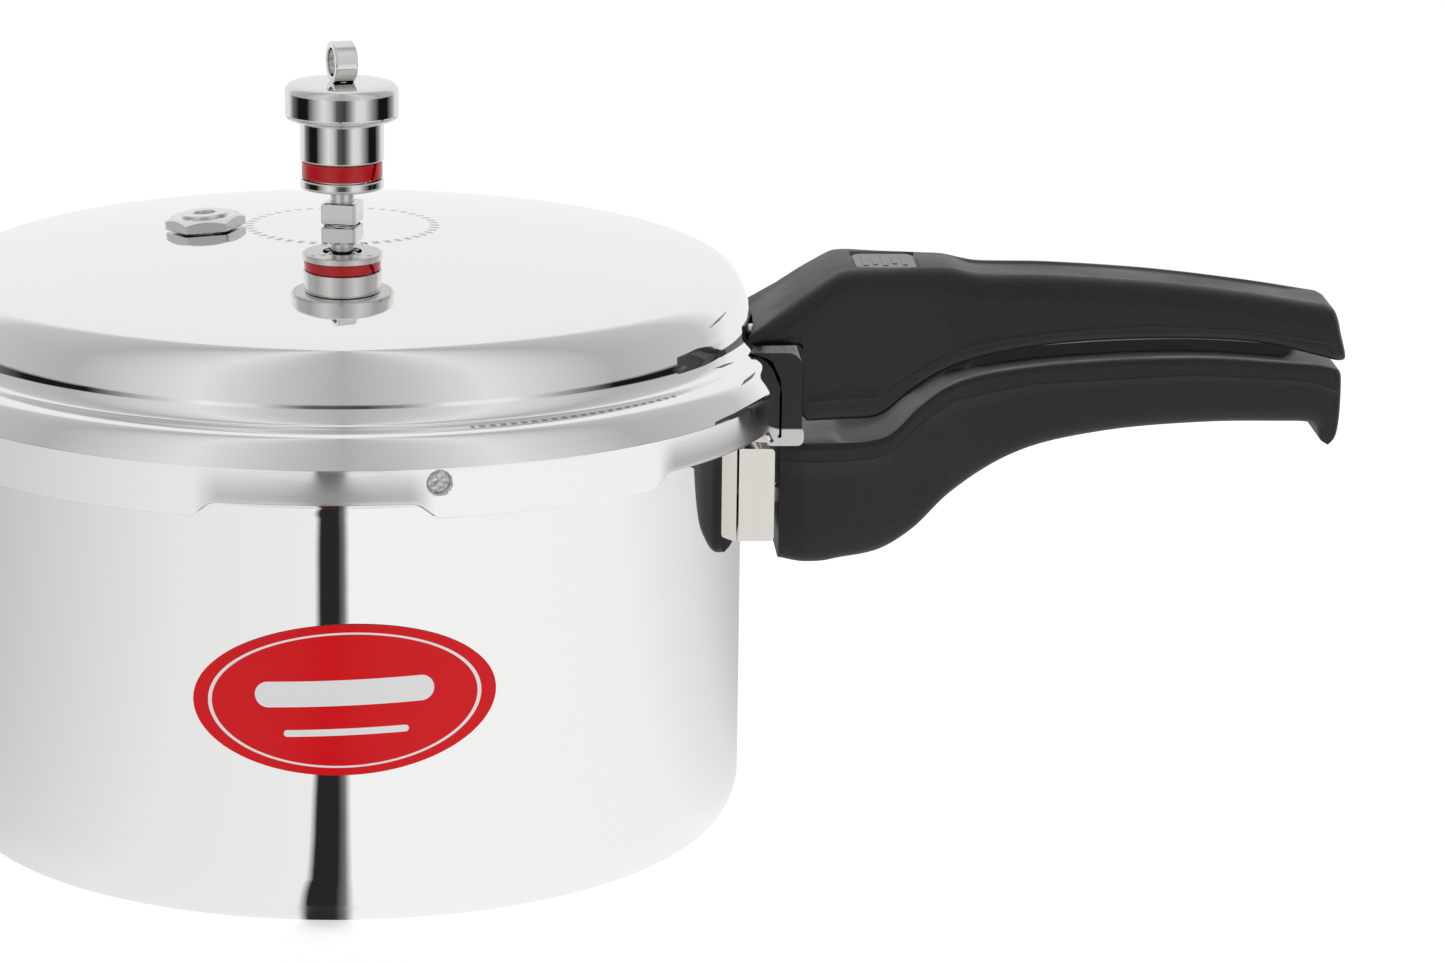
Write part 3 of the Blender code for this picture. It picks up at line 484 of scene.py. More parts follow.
def makePot(look):
    # profile from the middle of the base, up the outside, over the brim and down the inside to the floor.
    # the lug rows move outwards by the lug share at each azimuth
    inner = look["radius"] - look["wall"]
    lower = filletPath([(0, look["footRecess"]), (look["footRadius"] - 0.001, look["footRecess"], 0.0006),
                        (look["footRadius"], 0, 0.0006), (look["radius"], 0, look["corner"]),
                        (look["radius"], 0.1010, 0.004), (look["collar"], 0.1035, 0.0015),
                        (look["collar"], look["lugLow"] - 0.0003)], 10, 8)
    upper = filletPath([(look["collar"], look["lugHigh"] + 0.0003), (look["collar"], look["brim"], 0.0009),
                        (inner, look["brim"], 0.0009), (inner, look["base"], 0.011), (0, look["base"])], 6, 4)
    lug = filletPath([(0, look["lugLow"]), (look["lugReach"], look["lugLow"], 0.0005),
                      (look["lugReach"], look["lugHigh"], 0.0005), (0, look["lugHigh"])], 3, 1)
    height = np.concatenate((lower[:, 1], lug[:, 1], upper[:, 1]))
    radius = np.concatenate((lower[:, 0], 0 * lug[:, 0] + look["collar"], upper[:, 0]))
    push = np.concatenate((0 * lower[:, 0], lug[:, 0], 0 * upper[:, 0]))
    azimuth = lugAzimuths(look["steps"], look["lugCentre"], look["lugHalf"], look["lugEase"])
    share = lugShare(azimuth, look["lugCentre"], look["lugHalf"], look["lugEase"])[:, None]
    grid = turned(radius + share * push, height, azimuth)
    return makePiece("potShell", [(grid, True, False)], potMetal, "pot", ["pot_body"])


makePot(pot)


def makeLabel(look):
    # an oval wrapped on the wall: share of the way out, and angle round the oval, on a front and a back skin
    share = np.linspace(0, 1, 17)[:, None]
    angle = np.radians(around(120))[None, :]
    along = share * np.cos(angle)
    rise = share * np.sin(angle)
    tilt = math.radians(look["tilt"])
    across = along * look["halfWidth"] * math.cos(tilt) - rise * look["halfHeight"] * math.sin(tilt)
    up = along * look["halfWidth"] * math.sin(tilt) + rise * look["halfHeight"] * math.cos(tilt)
    skins = []
    for gap in (0.0003, 0.0005):
        radius = pot["radius"] + gap
        turn = math.radians(look["azimuth"]) + across / pot["radius"]
        skins.append(np.stack((radius * np.sin(turn), -radius * np.cos(turn), look["height"] + up), axis=-1))
    edge = np.stack((skins[0][-1], skins[1][-1]))
    uv = np.stack(((along + 1) / 2, (rise + 1) / 2), axis=-1)
    corners = np.concatenate((uv.reshape(-1, 2), uv.reshape(-1, 2), uv[-1], uv[-1]))
    grids = [(skins[0], False, True), (skins[1], False, True), (edge, False, True)]
    return makePiece("ovalSticker", grids, stickerVinyl, "pot", ["body_label"], uv=corners)


makeLabel(label)
print("pot and sticker made")


# the lid: a shallow dome, a rolled edge, a shoulder, and a skirt with six lugs

lid = {
    "crown": 0.1477, "edgeRadius": 0.090, "edgeHeight": 0.1389, "sheet": 0.0024,
    "hole": 0.0044,
    "skirt": 0.108, "skirtInner": 0.1054,
    "gapLow": 0.1045, "lugLow": 0.1010, "lip": 0.1013, "lipRise": 0.0032,
    "rolled": [(0.0905, 0.1387), (0.0934, 0.1374), (0.0963, 0.1342), (0.0980, 0.1302), (0.0986, 0.1260),
               (0.0988, 0.1234), (0.1002, 0.1213), (0.1030, 0.12045), (0.1048, 0.1196), (0.1060, 0.1182),
               (0.1071, 0.1158), (0.1077, 0.1142), (0.1080, 0.1128)],
    "lugCentre": 27.1, "lugHalf": 18.2, "lugEase": 3.6,
    "steps": 288,
    "dimple": {"azimuth": 12.2, "height": 0.1095, "radius": 0.0030, "depth": 0.0017},
}


def domeHeight(radius, drop=0.0):
    # cap of a sphere that passes through the crown and the dome's edge
    rise = lid["crown"] - lid["edgeHeight"]
    sphere = (lid["edgeRadius"] ** 2 + rise ** 2) / (2 * rise)
    return lid["crown"] - sphere + np.sqrt(sphere ** 2 - radius ** 2) - drop


def makeLid(look):
    # closed section: dome, rolled edge, shoulder and skirt outside, then lip, skirt and dome inside.
    # the skirt's edge is worked out with and without a lug, and mixed by the lug share at each azimuth
    domeRadius = np.linspace(look["hole"], 0.086, 26)
    dome = np.stack((domeRadius, domeHeight(domeRadius)), axis=-1)
    rolled = curveThrough([(0.0875, domeHeight(0.0875)), *look["rolled"]], 0.0009)
    spot = look["dimple"]
    rows = np.linspace(spot["height"] + spot["radius"] + 0.0002, spot["height"] - spot["radius"] - 0.0002, 33)
    straight = np.stack((0 * rows + look["skirt"], rows), axis=-1)
    edges = []
    for low, lip, rise in ((look["gapLow"], look["skirtInner"], 0.0),
                           (look["lugLow"], look["lip"], look["lipRise"])):
        edges.append(filletPath([(look["skirt"], rows[-1] - 0.0001), (look["skirt"], low, 0.0009),
                                 (lip, low, 0.0008), (lip, low + 0.0012 + 0.8 * rise, 0.0005),
                                 (look["skirtInner"], low + 0.0014 + rise),
                                  (look["skirtInner"], 0.1120)], 5, 1))
    inner = filletPath([(look["skirtInner"], 0.1125), (look["skirtInner"], 0.1172, 0.0012),
                        (0.0968, 0.1172, 0.0010), (0.0962, 0.1190), (0.0960, 0.1245, 0.02),
                        (0.0952, 0.1310, 0.006), (0.0915, 0.1350, 0.006),
                        (0.0885, domeHeight(0.0885, look["sheet"]))], 3, 1)
    under = np.linspace(0.0870, look["hole"], 12)
    under = np.stack((under, domeHeight(under, look["sheet"])), axis=-1)
    middle = spot["azimuth"]
    nearSpot = np.arange(middle - 1.9, middle + 1.91, 0.1)
    azimuth = lugAzimuths(look["steps"], look["lugCentre"], look["lugHalf"], look["lugEase"], nearSpot)
    share = lugShare(azimuth, look["lugCentre"], look["lugHalf"], look["lugEase"])[:, None, None]
    edge = edges[0] + share * (edges[1] - edges[0])
    outside = np.concatenate((dome, rolled, straight))
    inside = np.concatenate((inner, under))
    count = len(azimuth)
    section = np.concatenate((np.repeat(outside[None], count, axis=0), edge,
                              np.repeat(inside[None], count, axis=0)), axis=1)
    radius, height = section[..., 0], section[..., 1]
    # the pressed dimple: a flat-bottomed round hollow on the outside of the skirt
    sideways = np.radians((azimuth - middle + 180) % 360 - 180)[:, None] * look["skirt"]
    away = np.hypot(sideways, height - spot["height"])
    outer = np.arange(section.shape[1])[None, :] < len(outside)
    radius = radius - outer * spot["depth"] * ease(spot["radius"] - away, 0, 0.0005)
    grid = turned(radius, height, azimuth)
    return makePiece("lidDome", [(grid, True, True)], lidMetal, "lid", ["lid_shell"])


def makeStopRivet(spot):
    # a stub in the dimple, head inside the skirt; its outer end is torn, so its face is pushed about by waves
    profile = filletPath([(0, -0.0056), (0.0034, -0.0056, 0.0003), (0.0034, -0.0026, 0.0003),
                          (0.0026, -0.0026), (0.0026, 0.0, 0.0004), (0, 0.0)], 3, 3)
    grid = turned(profile[:, 0], profile[:, 1], around(48))
    rough = 0.00018 * np.sin(2900 * grid[..., 0] + 1.3) * np.cos(2300 * grid[..., 1] - 0.6)
    grid[..., 2] += rough * (grid[..., 2] > -0.0004)
    out = spot["azimuth"] - 90
    frameOf = Matrix.Rotation(math.radians(out), 4, "Z") @ Matrix.Translation((0.1069, 0, spot["height"]))
    grid = placed(grid, frameOf @ Matrix.Rotation(math.radians(90), 4, "Y"))
    return makePiece("stopRivet", [(grid, True, False)], tornMetal, "lid", ["stop_rivet"])


makeLid(lid)
makeStopRivet(lid["dimple"])
print("lid made")


# the handles: a side outline whose top and under edges are paired, with a rounded box section between them

lidHandle = {
    "top": [(0.0940, 0.1220), (0.1040, 0.1287), (0.1130, 0.1348), (0.1172, 0.1374), (0.1192, 0.1385),
            (0.1218, 0.1390), (0.1300, 0.1390), (0.1400, 0.1390), (0.1465, 0.1388), (0.1502, 0.1380),
            (0.1540, 0.1373), (0.1610, 0.1371), (0.1700, 0.1370), (0.1960, 0.1354), (0.2220, 0.1323),
            (0.2385, 0.1297)],
    "nose": [(0.2385, 0.1297), (0.2404, 0.1286), (0.2416, 0.1262), (0.2425, 0.1222), (0.2434, 0.1184),
             (0.2436, 0.1171)],
    "notch": [(0.1094, 0.1217), (0.1106, 0.1205), (0.1106, 0.1120), (0.1106, 0.1042), (0.1109, 0.1034),
              (0.1118, 0.1030)],
    "under": [(0.1118, 0.1030), (0.1200, 0.1030), (0.1275, 0.1030), (0.1300, 0.1036), (0.1320, 0.1048),
              (0.1380, 0.1096), (0.1490, 0.1156), (0.1680, 0.1200), (0.1950, 0.1219), (0.2220, 0.1209),
              (0.2385, 0.1172)],
    "chin": [(0.2385, 0.1172), (0.2405, 0.1166), (0.2422, 0.1163), (0.2432, 0.1165), (0.2436, 0.1171)],
    "halfAtLid": 0.0205, "halfAtGrip": 0.0130, "taper": (0.100, 0.150),
    "roundTop": 0.0050, "roundLow": 0.0018, "end": 0.2436,
    "rootGap": 0.0006,
    "recess": {"low": 0.1234, "high": 0.1392, "half": 0.0088, "depth": 0.0008},
    "groove": {"low": 0.1500, "high": 0.2360, "half": 0.0070, "depth": 0.0005},
    "flash": [(0.1120, 0.1055), (0.1280, 0.1055), (0.1330, 0.1109), (0.1420, 0.1161), (0.1540, 0.1203),
              (0.1660, 0.1226), (0.1830, 0.1244), (0.1950, 0.1252), (0.2160, 0.1243), (0.2300, 0.1227),
              (0.2400, 0.1210)],
}

bodyHandle = {
    "top": [(0.1055, 0.0972), (0.1200, 0.0974), (0.1285, 0.0980), (0.1325, 0.0994), (0.1400, 0.1064),
            (0.1480, 0.1112), (0.1670, 0.1150), (0.2060, 0.1172), (0.2320, 0.1158)],
    "nose": [(0.2320, 0.1158), (0.2390, 0.1150), (0.2422, 0.1136), (0.2430, 0.1086), (0.2424, 0.1000),
             (0.2415, 0.0971), (0.2396, 0.0957)],
    "under": [(0.1055, 0.0678), (0.1090, 0.0675), (0.1160, 0.0676), (0.1200, 0.0684), (0.1300, 0.0703),
              (0.1380, 0.0748), (0.1478, 0.0838), (0.1645, 0.0937), (0.1843, 0.0985), (0.2100, 0.1008),
              (0.2320, 0.1010)],
    "chin": [(0.2320, 0.1010), (0.2350, 0.1007), (0.2368, 0.0997), (0.2380, 0.0965), (0.2396, 0.0957)],
    "halfAtRoot": 0.0160, "halfAtBody": 0.0190, "halfLost": 0.0062, "taper": (0.120, 0.160),
    "roundTop": 0.0014, "roundLow": 0.0034, "end": 0.2430,
    "channel": {"low": 0.118, "high": 0.236, "rim": 0.0034, "depth": 0.0025},
    "flash": [(0.1050, 0.0935), (0.1285, 0.0938), (0.1330, 0.0952), (0.1400, 0.1022), (0.1480, 0.1070),
              (0.1670, 0.1108), (0.2060, 0.1130), (0.2320, 0.1118), (0.2420, 0.1085)],
}


def resample(path, count):
    # the path's points, spread evenly along its length
    gone = np.concatenate(([0], np.cumsum(np.linalg.norm(np.diff(path, axis=0), axis=1))))
    at = np.linspace(0, gone[-1], count)
    return np.stack((np.interp(at, gone, path[:, 0]), np.interp(at, gone, path[:, 1])), axis=-1)


def heightAt(path, across):
    return np.interp(across, path[:, 0], path[:, 1])


def ruledHandle(topEdge, underEdge, halfAt, look, sink=None):
    # the paired edges are joined by a straight line at each station; a point on the section is a distance up
    # that line from the under edge, and a distance sideways: flat under face, quarter arc, side with the
    # mould's flash line standing out, quarter arc, flat top. the other half is its mirror
    line = topEdge - underEdge
    length = np.linalg.norm(line, axis=1)[:, None]
    way = line / np.maximum(length, 1e-9)
    roundTop = np.minimum(look["roundTop"], 0.60 * length)
    roundLow = np.minimum(look["roundLow"], 0.35 * length)
    bend = np.radians(np.linspace(0, 90, 7))[None, :]
    flatAt = np.array([0, 2, 4, 6, 6.7, 7.3, 8.2, 9.4, 10.4, 10.8, 12.5]) / 1000
    flatUp = np.zeros((len(length), len(flatAt)))
    lowUp = roundLow * (1 - np.cos(bend))
    lowIn = roundLow * (np.sin(bend) - 1)
    topUp = length - roundTop * (1 - np.cos(bend))
    topIn = roundTop * (np.sin(bend) - 1)
    flashAt = np.interp(underEdge[:, 0], *np.array(look["flash"]).T)[:, None] - underEdge[:, 1:]
    ridge = np.minimum(0.00016, 0.02 * length)
    room = length - roundTop - roundLow
    flashUp = np.clip(flashAt, roundLow + 0.12 * room, length - roundTop - 0.12 * room)
    lowSide = roundLow + (flashUp - ridge - roundLow) * np.linspace(0, 1, 6)[None, :]
    highSide = flashUp + ridge + (length - roundTop - flashUp - ridge) * np.linspace(0, 1, 9)[None, :]
    up = np.concatenate((flatUp, lowUp, lowSide, flashUp, highSide, topUp[:, ::-1], length - flatUp), axis=1)
    up = np.clip(up, 0, length)
    spot = underEdge[:, None, :] + up[..., None] * way[:, None, :]
    half = halfAt(spot[..., 0])
    sides = lowSide.shape[1] + 1 + highSide.shape[1]
    inwards = np.concatenate((flatUp, lowIn, np.zeros((len(length), sides)), topIn[:, ::-1], flatUp), axis=1)
    side = half + inwards
    flats = len(flatAt)
    side[:, :flats] = np.minimum(flatAt[None, :], side[:, :flats] - roundLow)
    side[:, -flats:] = np.minimum(flatAt[None, ::-1], side[:, -flats:] - roundTop)
    side[:, flats + lowIn.shape[1] + lowSide.shape[1]] += 0.00012 * (length[:, 0] > 0.008)
    across, high = spot[..., 0], spot[..., 1].copy()
    if sink is not None:
        high[:, -flats:] -= sink(across[:, -flats:], side[:, -flats:])
    near = np.stack((across, -side, high), axis=-1)
    far = np.stack((across, side, high), axis=-1)[:, ::-1]
    return np.concatenate((near, far), axis=1)


def makeLidHandle(look):
    top = curveThrough(look["top"], 0.0008)
    under = curveThrough(look["under"], 0.0008)
    rec = look["recess"]
    lipped = [edge + shift for edge in (rec["low"], rec["high"]) for shift in (-0.00012, 0.00012)]
    across = np.unique(np.concatenate((np.linspace(0.1128, 0.2385, 128), lipped)))
    notch = resample(filletPath(look["notch"], 2, 2), 12)
    overNotch = np.linspace(0.1094, 0.1118, 12)
    root = np.linspace(0.0940, 0.1090, 16)
    nose = resample(curveThrough(look["nose"], 0.0004), 22)[1:]
    chin = resample(curveThrough(look["chin"], 0.0004), 22)[1:]
    topEdge = np.concatenate((np.stack((root, heightAt(top, root)), axis=-1),
                              np.stack((overNotch, heightAt(top, overNotch)), axis=-1),
                              np.stack((across, heightAt(top, across)), axis=-1), nose))
    underEdge = np.concatenate((np.stack((root, 0 * root + look["notch"][0][1]), axis=-1), notch,
                                np.stack((across, heightAt(under, across)), axis=-1), chin))
    topEdge[0] = underEdge[0]

    def halfAt(x):
        # tapers from the lid to the grip, and rounds off at the far end
        wide = look["halfAtLid"] + (look["halfAtGrip"] - look["halfAtLid"]) * ease(x, *look["taper"])
        past = np.clip((x - look["end"] + 0.004) / 0.004, 0, 1)
        return wide - 0.004 * (1 - np.sqrt(1 - past ** 2))

    def sink(x, y):
        # the badge's recess and the thumb's shallow groove
        recess = ease(x, rec["low"] - 0.0001, rec["low"] + 0.0001)
        recess = recess * ease(x, rec["high"] + 0.0001, rec["high"] - 0.0001)
        recess = recess * ease(y, rec["half"] + 0.0002, rec["half"] - 0.0002)
        thumb = look["groove"]
        groove = ease(x, thumb["low"] - 0.003, thumb["low"] + 0.003)
        groove = groove * ease(x, thumb["high"], thumb["high"] - 0.006)
        groove = groove * ease(y, thumb["half"] + 0.0003, thumb["half"] - 0.0006)
        return rec["depth"] * recess + thumb["depth"] * groove

    grid = ruledHandle(topEdge, underEdge, halfAt, look, sink)
    # the root is hollowed to stand against the lid: no nearer the axis than
    # the lid's rolled edge at that height
    lidEdge = np.array(lid["rolled"])[::-1]
    wall = np.interp(grid[..., 2], lidEdge[:, 1], lidEdge[:, 0]) + look["rootGap"]
    wall = np.sqrt(wall ** 2 - grid[..., 1] ** 2)
    grid[..., 0] = np.where(grid[..., 2] > 0.1212, np.maximum(grid[..., 0], wall), grid[..., 0])
    return makePiece("lidHandleGrip", [(grid, False, True)], handleResin, "lid", ["lid_handle"],
                     sharp=38.0)


def makeBodyHandle(look):
    top = curveThrough(look["top"], 0.0008)
    under = curveThrough(look["under"], 0.0008)
    across = np.linspace(0.1055, 0.2320, 130)
    nose = resample(curveThrough(look["nose"], 0.0004), 40)[1:]
    chin = resample(curveThrough(look["chin"], 0.0004), 40)[1:]
    topEdge = np.concatenate((np.stack((across, heightAt(top, across)), axis=-1), nose))
    underEdge = np.concatenate((np.stack((across, heightAt(under, across)), axis=-1), chin))
    middle = (topEdge[:1] + underEdge[:1]) / 2
    topEdge = np.concatenate((middle, topEdge))
    underEdge = np.concatenate((middle, underEdge))

    def halfAt(x):
        # flares from the bracket, narrows to the grip, and rounds off at the far end
        wide = look["halfAtRoot"] + (look["halfAtBody"] - look["halfAtRoot"]) * ease(x, 0.105, 0.112)
        wide = wide - look["halfLost"] * ease(x, *look["taper"])
        past = np.clip((x - look["end"] + 0.004) / 0.004, 0, 1)
        return wide - 0.004 * (1 - np.sqrt(1 - past ** 2))

    def sink(x, y):
        # a channel along the top, inside a rim on both sides
        channel = look["channel"]
        hollow = ease(x, channel["low"], channel["low"] + 0.006) * ease(x, channel["high"], channel["high"] - 0.006)
        rim = halfAt(x) - channel["rim"]
        return channel["depth"] * hollow * ease(y, rim, rim - 0.0008)

    grid = ruledHandle(topEdge, underEdge, halfAt, look, sink)
    return makePiece("bodyHandleGrip", [(grid, False, True)], handleResin, "pot", ["body_handle"],
                     sharp=38.0)


makeLidHandle(lidHandle).visible_glossy = False  # the lid's wall is kept clear of the grip's mirror image
makeBodyHandle(bodyHandle)
print("handles made")


# the brackets: bent plates, with an outer skin and an inner skin that follows the round wall behind it

lidBracket = {
    "half": 0.026,
    "outer": [(0.1005, 0.1215), (0.1100, 0.1215, 0.0036), (0.1100, 0.1036, 0.004), (0.1105, 0.1018, 0.0015),
              (0.1105, 0.0987, 0.0019), (0.1016, 0.0987, 0.0009), (0.1016, 0.1006)],
    "inner": [(0.1005, 0.1215), (0.1027, 0.1207), (0.1048, 0.1201), (0.1060, 0.1193), (0.1068, 0.1175),
              (0.1079, 0.1150), (0.1083, 0.1112), (0.1083, 0.1007), (0.1016, 0.1006)],
}

bodyBracket = {
    "half": 0.018, "front": 0.1042, "low": 0.0730, "high": 0.0960,
}


def bentPlate(outer, inner, half, follow):
    # two skins over (distance sideways, share along the section), closed by strips at both sides.
    # points of the inner skin, and the first ones of the outer, lie on a round wall: across is the square
    # root of the wall's radius squared less the sideways distance squared
    sideways = half * np.sin(np.radians(np.linspace(-90, 90, 41)))[:, None]
    skins = []
    for path, round_ in ((outer, follow[0]), (inner, follow[1])):
        across = path[:, 0][None, :] + 0 * sideways
        wall = np.sqrt(path[:, 0][None, :] ** 2 - sideways ** 2)
        across = across + round_[None, :] * (wall - across)
        skins.append(np.stack((across, sideways + 0 * across, path[:, 1][None, :] + 0 * across), axis=-1))
    ends = [(np.stack((skins[0][k], skins[1][k])), False, False) for k in (0, -1)]
    links = [(np.stack((skins[0][:, k], skins[1][:, k])), False, False) for k in (0, -1)]
    return [(skins[0], False, False), (skins[1], False, False), *ends, *links]


def makeLidBracket(look):
    outer = resample(filletPath(look["outer"], 8, 2), 90)
    inner = resample(np.array(look["inner"]), 90)
    follow = (np.clip(1 - np.arange(90) / 6, 0, 1), np.ones(90))
    grids = bentPlate(outer, inner, look["half"], follow)
    tongue = prism(boxOutline((0.1080, -0.008), (0.1330, 0.008), 0.002),
                   [(0.0002, 0.1080), (0, 0.1082), (0, 0.1108), (0.0002, 0.1110)])
    tab = prism(boxOutline((0.0992, -0.014), (0.1012, 0.014), 0.0003),
                [(0.0002, 0.1208), (0, 0.1210), (0, 0.1254), (0.0002, 0.1256)])
    # the plate's near-black above its lip is a painted reflection of the grip
    return makePiece("lidBracketPlate", [*grids, tongue, tab], paintedReflectionSteel, "lid", ["lid_bracket"],
                     sharp=40.0)


def makeBodyBracket(look):
    inner = np.array([(0.0973, look["high"]), (0.0973, look["low"])])
    outer = filletPath([(0.0973, look["high"]), (look["front"], look["high"], 0.0009),
                        (look["front"], look["low"], 0.0009), (0.0973, look["low"])], 6, 4)
    outer = resample(outer, 60)
    inner = resample(inner, 60)
    follow = (np.clip(np.maximum(1 - np.arange(60) / 5, 1 - np.arange(60)[::-1] / 5), 0, 1), np.ones(60))
    grids = bentPlate(outer, inner, look["half"], follow)
    tongue = prism(boxOutline((0.1000, -0.007), (0.1370, 0.007), 0.002),
                   [(0.0002, 0.0800), (0, 0.0802), (0, 0.0838), (0.0002, 0.0840)])
    return makePiece("bodyBracketPlate", [*grids, tongue], brightSteel, "pot", ["body_bracket"],
                     sharp=40.0)


makeLidBracket(lidBracket)
makeBodyBracket(bodyBracket)
print("brackets made")


# the badge on the lid handle

badge = {"low": (0.1240, -0.0084), "high": (0.1386, 0.0084), "corner": 0.0025, "bottom": 0.1384, "top": 0.1389}


def makeBadge(look):
    # a thin plate with five raised bars across it
    outline = boxOutline(look["low"], look["high"], look["corner"])
    plate = prism(outline, [(0.0001, look["bottom"]), (0, look["bottom"] + 0.0001),
                            (0, look["top"] - 0.0003), (0.0001, look["top"] - 0.0002)])
    bars = []
    for count, half in enumerate((0.0060, 0.0048, 0.0062, 0.0040, 0.0054)):
        low = look["low"][0] + 0.0018 + 0.0024 * count
        bar = boxOutline((low, -half), (low + 0.0013, half), 0.0004)
        bars.append(prism(bar, [(0, look["top"] - 0.0003), (0, look["top"] - 0.0001), (0.0001, look["top"])]))
    return makePiece("handleBadgePlate", [plate, *bars], badgeMetal, "lid", ["handle_badge"])


makeBadge(badge)


# the vent tube and the safety plug

vent = {"square": 0.0086, "turn": -13.6, "low": 0.1480, "high": 0.1531}
plug = {"across": -0.0328, "hexagon": 0.0168, "turn": 3.0, "top": 0.0032, "chamfer": 30.0}


def makeVent(look):
    tube = filletPath([(0.0012, 0.1375), (0.0039, 0.1375, 0.0004), (0.0040, 0.1500), (0.0029, 0.1518, 0.0006),
                       (0.0029, 0.1630, 0.0007), (0.0012, 0.1630, 0.0002)], 4, 2, closed=True)
    half = look["square"] / 2
    outline = filletPath([(half, -half, 0.0006), (half, half, 0.0006), (-half, half, 0.0006),
                          (-half, -half, 0.0006)], 5, 2, closed=True)
    turn = Matrix.Rotation(math.radians(look["turn"]), 4, "Z")
    head = prism(outline, [(0.0003, look["low"]), (0, look["low"] + 0.0003), (0, look["high"] - 0.0006),
                           (0.00015, look["high"] - 0.0002), (0.0005, look["high"])], turn)
    return makePiece("ventTube", [(turned(tube[:, 0], tube[:, 1], around(48)), True, True), head], platedSteel,
                     "lid", ["vent_tube"])


def plugFrame(look):
    # on the dome, square to its surface
    rise = lid["crown"] - lid["edgeHeight"]
    sphere = (lid["edgeRadius"] ** 2 + rise ** 2) / (2 * rise)
    lean = math.asin(-look["across"] / sphere)
    spot = Matrix.Translation((look["across"], 0, float(domeHeight(-look["across"]))))
    return spot @ Matrix.Rotation(-lean, 4, "Y")


def makePlug(look):
    # the hexagon's edge is its half width over the cosine of the angle from the nearest flat's middle;
    # the top falls away outside a circle, as a cone does when it cuts a hexagon
    angle = np.radians(around(144))[None, :]
    flat = (angle - math.radians(look["turn"] + 30)) % (math.pi / 3)
    flat = np.minimum(flat, math.pi / 3 - flat)
    edge = look["hexagon"] / 2 / np.cos(flat)
    slope = math.tan(math.radians(look["chamfer"]))
    rows = []
    for share, base in ((0.0, 0.0003), (0.99, 0.0003), (1.0, 0.0004)):
        rows.append((share * edge, base + 0 * edge))
    for share in (1.0, 0.985, 0.96, 0.93, 0.90, 0.86, 0.80, 0.0):
        radius = share * edge
        rows.append((radius, look["top"] - slope * np.maximum(radius - 0.0079, 0)))
    radius = np.concatenate([row[0] for row in rows])
    height = np.concatenate([row[1] for row in rows])
    hexagon = np.stack((radius * np.cos(angle), radius * np.sin(angle), height), axis=-1)
    place = plugFrame(look)
    boss = filletPath([(0, 0.0028), (0.0056, 0.0028), (0.0056, 0.0039, 0.0004), (0.0027, 0.0039, 0.0002),
                       (0.0026, 0.0034), (0, 0.0034)], 4, 2)
    shank = filletPath([(0, -0.0085), (0.0052, -0.0085, 0.0003), (0.0055, -0.0080), (0.0055, 0.0010),
                        (0, 0.0010)], 4, 2)
    grids = [(placed(hexagon, place), False, True)]
    for profile in (boss, shank):
        grids.append((placed(turned(profile[:, 0], profile[:, 1], around(72)), place), True, False))
    makePiece("safetyPlug", grids, platedSteel, "lid", ["safety_plug_body"])
    slug = filletPath([(0, 0.0030), (0.0022, 0.0030), (0.0023, 0.0036, 0.0003), (0.0012, 0.0038, 0.0006),
                       (0, 0.0036)], 5, 2)
    grid = placed(turned(slug[:, 0], slug[:, 1], around(48)), place)
    return makePiece("safetyPlugSlug", [(grid, True, False)], fusible, "lid", ["safety_plug_slug"])


makeVent(vent)
makePlug(plug)
print("vent and plug made")


# the weight: everything is measured up from its base

weight = {
    "base": 0.1565,
    "body": [(0.0049, 0.0), (0.0101, 0.0, 0.0006), (0.0101, 0.0024, 0.0002), (0.0084, 0.0024),
             (0.0084, 0.0070), (0.0101, 0.0070, 0.0002), (0.0101, 0.0165, 0.0003), (0.0060, 0.0165),
             (0.0060, 0.0216), (0.0001, 0.0216), (0.0001, 0.0158), (0.0031, 0.0158), (0.0031, 0.0080),
             (0.0049, 0.0070)],
    "cap": [(0.0063, 0.0168), (0.0137, 0.0168, 0.0015), (0.0137, 0.0254, 0.0030),
            (0.0100, 0.02568, 0.004), (0.0, 0.0259), (0.0, 0.0220), (0.0063, 0.0220)],
    "ring": {"inner": 0.0087, "outer": 0.0097, "low": 0.0027, "high": 0.0067, "split": 52.0, "gap": 4.0},
    "loop": {"inner": 0.0034, "outer": 0.0050, "half": 0.0027, "height": 0.0306, "turn": 16.4},
}


